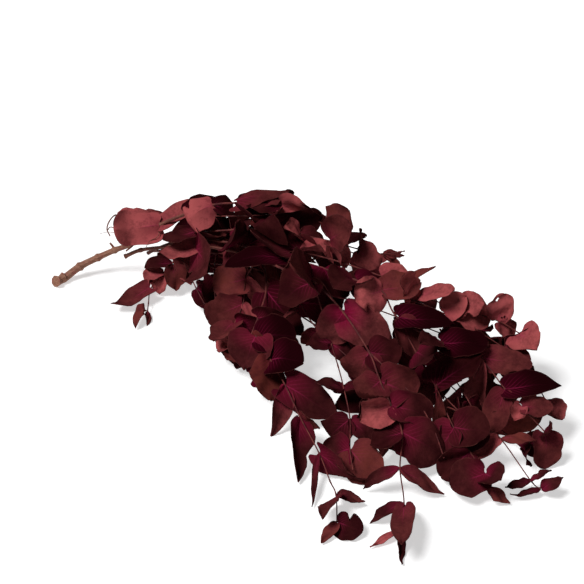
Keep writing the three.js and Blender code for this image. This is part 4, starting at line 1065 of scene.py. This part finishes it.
def leaf_marks():
    """Node group: where a leaf's veins, its dyed foot and its thin margin lie. Its place is u
    across the leaf and s along it."""
    group, given, result = new_group(
        "leaf marks",
        {"Place": "NodeSocketVector", "Veins": "NodeSocketFloat"},
        {"Vein": "NodeSocketFloat", "Foot": "NodeSocketFloat", "Margin": "NodeSocketFloat"},
    )
    shade = Shade(group)
    u, s, _ = shade.node("ShaderNodeSeparateXYZ", given.outputs["Place"]).outputs
    t = shade.math("MULTIPLY_ADD", u, 2.0, -1.0)
    edge = shade.math("ABSOLUTE", t)
    # The midrib, and side veins that sweep forwards.
    midrib = shade.ramp(edge, *MIDRIB)
    swept = shade.math("SUBTRACT", s, shade.math("MULTIPLY", edge, VEIN_SWEEP))
    right = shade.math("GREATER_THAN", t, 0.0)
    count = shade.math("MULTIPLY", swept, given.outputs["Veins"])
    beat = shade.math("FRACT", shade.math("MULTIPLY_ADD", right, VEIN_STAGGER, count))
    beside = shade.math("ABSOLUTE", shade.math("SUBTRACT", beat, 0.5))
    side_vein = shade.ramp(beside, *SIDE_VEIN)
    thin = shade.ramp(edge, *FAINTER_OUTWARDS)
    vein = shade.math("MAXIMUM", midrib, shade.math("MULTIPLY", side_vein, thin))
    vein = shade.math("MULTIPLY", vein, shade.ramp(s, *FAINTER_ONWARDS))
    # The dyed foot.
    along = shade.math("MULTIPLY", s, s)
    across = shade.math("MULTIPLY", shade.math("MULTIPLY", t, t), FOOT_SPREAD)
    away = shade.math("SQRT", shade.math("ADD", along, across))
    foot = shade.ramp(away, *FOOT)
    margin = shade.math("MAXIMUM", shade.ramp(edge, *SIDE_MARGIN), shade.ramp(s, *TIP_MARGIN))
    for title, value in (("Vein", vein), ("Foot", foot), ("Margin", margin)):
        group.links.new(value, result.inputs[title])
    return group


def leaf_finish(name, marks, roughness, under):
    """Matt dyed leaf, its dye partly painted light and shade. Its under side is a little greyer than its
    upper side.
    """
    shade, surface = new_finish(name, roughness, gloss=0.0)
    colours = bpy.context.scene.eucalyptus_leaves
    at = shade.place()
    place_on_leaf = shade.node("ShaderNodeUVMap", uv_map="UVMap").outputs[0]
    # The dye's tone holds painted shade for leaves under others or in shade, and painted light on some
    # leaves the lamps leave in shade.
    dye = shade.node("ShaderNodeAttribute", attribute_name="dye").outputs["Color"]
    tone, crimson, brown = shade.node("ShaderNodeSeparateColor", dye).outputs
    spots = shade.node("ShaderNodeGroup", place_on_leaf, SIDE_VEINS, node_tree=marks).outputs
    clouds = shade.noise(at, CLOUDS)
    mottles = shade.noise(at, MOTTLES)
    grain = shade.noise(at, LEAF_GRAIN)
    # Clouds and mottles make the dye lighter and darker, and the clouds leave some of it brown.
    toned = shade.math("MULTIPLY", tone, shade.ramp(clouds, *CLOUD_TONES))
    toned = shade.math("MULTIPLY", toned, shade.ramp(mottles, *MOTTLE_TONES))
    colour = shade.mix(toned, (*colours.dark, 1), (*colours.rosy, 1))
    tanned = shade.math("MULTIPLY", brown, shade.ramp(clouds, *CLOUD_BROWNS))
    colour = shade.mix(tanned, colour, (*colours.tan, 1))
    # The foot is crimson, and the veins show best there.
    dyed = shade.math("MULTIPLY", spots["Foot"], shade.ramp(crimson, *CRIMSON_FEET))
    colour = shade.mix(dyed, colour, (*colours.crimson, 1))
    veined = shade.math("MULTIPLY", spots["Vein"], shade.ramp(spots["Foot"], *VEINS_AT_FOOT))
    colour = shade.mix(veined, colour, (*colours.vein, 1))
    lined = shade.math("MULTIPLY", spots["Margin"], MARGIN_SHARE)
    colour = shade.mix(lined, colour, (*colours.margin, 1))
    if under:
        colour = shade.mix(BLOOM_SHARE, colour, (*colours.bloom, 1))
    shade.colour(surface, colour)
    height = shade.math("MULTIPLY_ADD", grain, GRAIN_RELIEF, spots["Vein"])
    height = shade.math("MULTIPLY_ADD", mottles, MOTTLE_RELIEF, height)
    shade.bump(surface, height, strength=0.35, distance=0.4)


def edge_finish():
    """The thin side of a leaf, dark with drier, browner patches."""
    shade, surface = new_finish("leaf edge", roughness=0.7, gloss=0.03)
    colours = bpy.context.scene.eucalyptus_leaves
    patches = shade.ramp(shade.noise(shade.place(), EDGE_PATCHES), *DRY_EDGES)
    shade.colour(surface, shade.mix(patches, (*colours.dark, 1), (*colours.edge, 1)))


def bark_finish():
    """Reddish on young shoots, dry brown and streaked on old wood."""
    shade, surface = new_finish("bark", roughness=0.65, gloss=0.15)
    colours = bpy.context.scene.eucalyptus_wood
    at = shade.place()
    age = shade.node("ShaderNodeAttribute", attribute_name="bark").outputs["Fac"]
    stretched = shade.node("ShaderNodeMapping", at)
    stretched.inputs["Scale"].default_value = BARK_STRETCH
    streaks = shade.noise(stretched.outputs[0], BARK_STREAKS)
    patches = shade.noise(at, BARK_PATCHES)
    pale = shade.ramp(streaks, *WEATHERED_STREAKS)
    old = shade.mix(pale, (*colours.old, 1), (*colours.weathered, 1))
    old = shade.mix(shade.ramp(patches, *STAINED_PATCHES), old, (*colours.stained, 1))
    dark = shade.ramp(patches, *DARK_PATCHES)
    young = shade.mix(dark, (*colours.young, 1), (*colours.young_dark, 1))
    shade.colour(surface, shade.mix(age, young, old))
    shade.bump(surface, streaks, strength=0.6, distance=0.5)


def cut_finish():
    """The pale, uneven wood of a cut end, browned in patches."""
    shade, surface = new_finish("cut wood", roughness=0.8, gloss=0.5)
    colours = bpy.context.scene.eucalyptus_wood
    grain = shade.ramp(shade.noise(shade.place(), CUT_GRAIN), *BROWNED_GRAIN)
    shade.colour(surface, shade.mix(grain, (*colours.cut, 1), (*colours.old, 1)))


# ---- Settings ----
def colour_setting(name, default, words):
    return FloatVectorProperty(
        name=name, default=default, description=words, subtype="COLOR", size=3, min=0, max=1
    )


class LeafSettings(bpy.types.PropertyGroup):
    thickness: FloatProperty(
        name="Thickness", description="Thickness of a leaf", default=0.42 * MM, unit="LENGTH"
    )
    across: IntProperty(name="Across", description="Faces across a leaf", default=12, min=4)
    along: IntProperty(name="Along", description="Faces along a leaf", default=18, min=6)
    # Painted light and shade: the darkest dye also serves as shade on leaves in deep shade, and the palest
    # is lightened a little as a painted sheen.
    dark: colour_setting("Dark", (0.011, 0.001, 0.002), "Darkest dye")
    rosy: colour_setting("Rosy", (0.37, 0.077, 0.08), "Palest dye")
    tan: colour_setting("Tan", (0.12, 0.024, 0.018), "Where the dye has browned")
    crimson: colour_setting("Crimson", (0.2, 0.005, 0.032), "At a leaf's foot")
    vein: colour_setting("Vein", (0.32, 0.02, 0.08), "Veins")
    margin: colour_setting("Margin", (0.15, 0.045, 0.035), "The thin line round a leaf")
    bloom: colour_setting("Bloom", (0.055, 0.013, 0.015), "The grey bloom of an under side")
    edge: colour_setting("Edge", (0.09, 0.024, 0.021), "Dry patches along a leaf's thin side")


class WoodSettings(bpy.types.PropertyGroup):
    young: colour_setting("Young", (0.15, 0.031, 0.027), "Bark of thin shoots")
    young_dark: colour_setting("Young, dark", (0.06, 0.01, 0.012), "Its darker patches")
    old: colour_setting("Old", (0.19, 0.08, 0.05), "Bark of the cut stems")
    weathered: colour_setting("Weathered", (0.3, 0.15, 0.1), "Its pale streaks")
    stained: colour_setting("Stained", (0.24, 0.07, 0.055), "Where dye has run over it")
    cut: colour_setting("Cut", (0.42, 0.24, 0.15), "A cut end")


class StageSettings(bpy.types.PropertyGroup):
    key: FloatProperty(name="Key light", description="Strength of the light above", default=3.4, min=0)
    fill: FloatProperty(name="Fill light", description="Power of the light in front", default=2.0, min=0)
    sky: FloatProperty(name="Sky", description="Brightness of the surroundings", default=0.06, min=0)
    floor: FloatProperty(name="Floor", description="Glow of the pale floor", default=0.55, min=0)


# ---- Operators ----
class EUCALYPTUS_OT_finishes(bpy.types.Operator):
    """Make the finishes of leaves and wood"""

    bl_idname = "eucalyptus.finishes"
    bl_label = "Finishes"

    def execute(self, context):
        marks = leaf_marks()
        leaf_finish("leaf upper side", marks, roughness=0.52, under=False)
        leaf_finish("leaf under side", marks, roughness=0.6, under=True)
        edge_finish()
        bark_finish()
        cut_finish()
        return {"FINISHED"}


class EUCALYPTUS_OT_leaves(bpy.types.Operator):
    """Grow the leaves of one stem"""

    bl_idname = "eucalyptus.leaves"
    bl_label = "Leaves of a stem"
    stem: IntProperty(name="Stem", description="Which stem, from 0", default=0, min=0, max=4)

    def execute(self, context):
        settings = context.scene.eucalyptus_leaves
        bpy.ops.object.select_all(action="DESELECT")
        bpy.ops.mesh.primitive_grid_add(
            x_subdivisions=settings.across, y_subdivisions=settings.along, size=1
        )
        blank = context.object
        grown = standing_leaves(self.stem)
        if not grown:
            raise RuntimeError("the part's leaves aren't where the layout puts them")
        blades = [grow_blade(blank, leaf) for leaf in grown]
        bpy.data.objects.remove(blank)
        node = STEMS[self.stem]["name"]
        leaves = joined(blades, f"leaves_of_{node[:6]}")
        for name in ("leaf upper side", "leaf under side", "leaf edge"):
            leaves.data.materials.append(bpy.data.materials[name])
        body = leaves.modifiers.new("body", "SOLIDIFY")
        body.thickness = settings.thickness
        body.offset = 0
        body.material_offset = 1
        body.material_offset_rim = 2
        bpy.ops.object.modifier_apply(modifier="body")
        bpy.ops.object.shade_smooth_by_angle(angle=SHARP)
        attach(leaves, "root")
        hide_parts(node)
        return {"FINISHED"}


class EUCALYPTUS_OT_wood(bpy.types.Operator):
    """Build the wood of one stem with its side shoots"""

    bl_idname = "eucalyptus.wood"
    bl_label = "Wood of a stem"
    stem: IntProperty(name="Stem", description="Which stem, from 0", default=0, min=0, max=4)

    def execute(self, context):
        stem = STEMS[self.stem]
        lengths = [shoot_wood(stem, shoot) for shoot in stem["shoots"]]
        lengths += [twig_wood(*twig[1:]) for twig in TWIGS if twig[0] == self.stem]
        wood = joined(lengths, f"wood_of_{stem['name'][:6]}")
        wood.data.materials.clear()
        for name in ("bark", "cut wood"):
            wood.data.materials.append(bpy.data.materials[name])
        for face in wood.data.polygons:
            cut = len(face.vertices) > 4 and face.area > CUT_END * MM * MM
            face.material_index = 1 if cut else 0
        bpy.ops.object.shade_smooth_by_angle(angle=SHARP)
        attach(wood, "root")
        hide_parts(stem["name"])
        return {"FINISHED"}


class EUCALYPTUS_OT_stage(bpy.types.Operator):
    """Set up the floor, the light and the camera"""

    bl_idname = "eucalyptus.stage"
    bl_label = "Stage"

    def execute(self, context):
        settings = context.scene.eucalyptus_stage
        bpy.ops.object.select_all(action="DESELECT")
        bpy.ops.mesh.primitive_plane_add(size=FLOOR_SIZE)
        floor = context.object
        floor.name = "floor"
        _, surface = new_finish("floor", roughness=0.9, gloss=0.1)
        surface.inputs["Base Color"].default_value = (FLOOR_GREY, FLOOR_GREY, FLOOR_GREY, 1)
        surface.inputs["Emission Color"].default_value = (1, 1, 1, 1)
        surface.inputs["Emission Strength"].default_value = settings.floor
        floor.data.materials.append(bpy.data.materials["floor"])
        bpy.ops.object.light_add(type="SUN", location=KEY_PLACE, rotation=KEY_TURN)
        key = context.object
        key.data.angle = KEY_SPREAD
        key.data.energy = settings.key
        bpy.ops.object.light_add(type="AREA", location=FILL_PLACE, rotation=FILL_TURN)
        fill = context.object
        fill.data.size = FILL_SIZE
        fill.data.energy = settings.fill
        context.scene.view_settings.view_transform = "Standard"
        world = bpy.data.worlds.new("studio")
        world.use_nodes = True
        background = world.node_tree.nodes["Background"]
        background.inputs["Color"].default_value = (1, 1, 1, 1)
        background.inputs["Strength"].default_value = settings.sky
        context.scene.world = world
        bpy.ops.object.camera_add(
            location=(TO_EYE * SIGHT_DISTANCE - BOTTOM_CENTRE) * MM,
            rotation=(math.pi / 2 - SIGHT_ANGLE, 0, 0),
        )
        camera = context.object
        camera.data.lens = LENS
        camera.data.sensor_width = LENS * SHEET / SIGHT_DISTANCE
        context.scene.camera = camera
        return {"FINISHED"}


class EUCALYPTUS_PT_bunch(bpy.types.Panel):
    """The steps that build the bunch"""

    bl_idname = "EUCALYPTUS_PT_bunch"
    bl_label = "Dried eucalyptus bunch"
    bl_space_type = "VIEW_3D"
    bl_region_type = "UI"
    bl_category = "Eucalyptus"

    def draw(self, context):
        layout = self.layout
        for step in (EUCALYPTUS_OT_finishes, EUCALYPTUS_OT_leaves, EUCALYPTUS_OT_wood, EUCALYPTUS_OT_stage):
            layout.operator(step.bl_idname)
        for group in ("eucalyptus_leaves", "eucalyptus_wood", "eucalyptus_stage"):
            settings = getattr(context.scene, group)
            for name in type(settings).__annotations__:
                layout.prop(settings, name)


CLASSES = (
    LeafSettings,
    WoodSettings,
    StageSettings,
    EUCALYPTUS_OT_finishes,
    EUCALYPTUS_OT_leaves,
    EUCALYPTUS_OT_wood,
    EUCALYPTUS_OT_stage,
    EUCALYPTUS_PT_bunch,
)


def register():
    for cls in CLASSES:
        bpy.utils.register_class(cls)
    bpy.types.Scene.eucalyptus_leaves = PointerProperty(type=LeafSettings)
    bpy.types.Scene.eucalyptus_wood = PointerProperty(type=WoodSettings)
    bpy.types.Scene.eucalyptus_stage = PointerProperty(type=StageSettings)


def unregister():
    del bpy.types.Scene.eucalyptus_stage
    del bpy.types.Scene.eucalyptus_wood
    del bpy.types.Scene.eucalyptus_leaves
    for cls in reversed(CLASSES):
        bpy.utils.unregister_class(cls)


def main():
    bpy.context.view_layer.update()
    register()
    bpy.ops.eucalyptus.finishes()
    for stem in range(len(STEMS)):
        bpy.ops.eucalyptus.leaves(stem=stem)
        bpy.ops.eucalyptus.wood(stem=stem)
    bpy.ops.eucalyptus.stage()


if __name__ == "__main__":
    main()
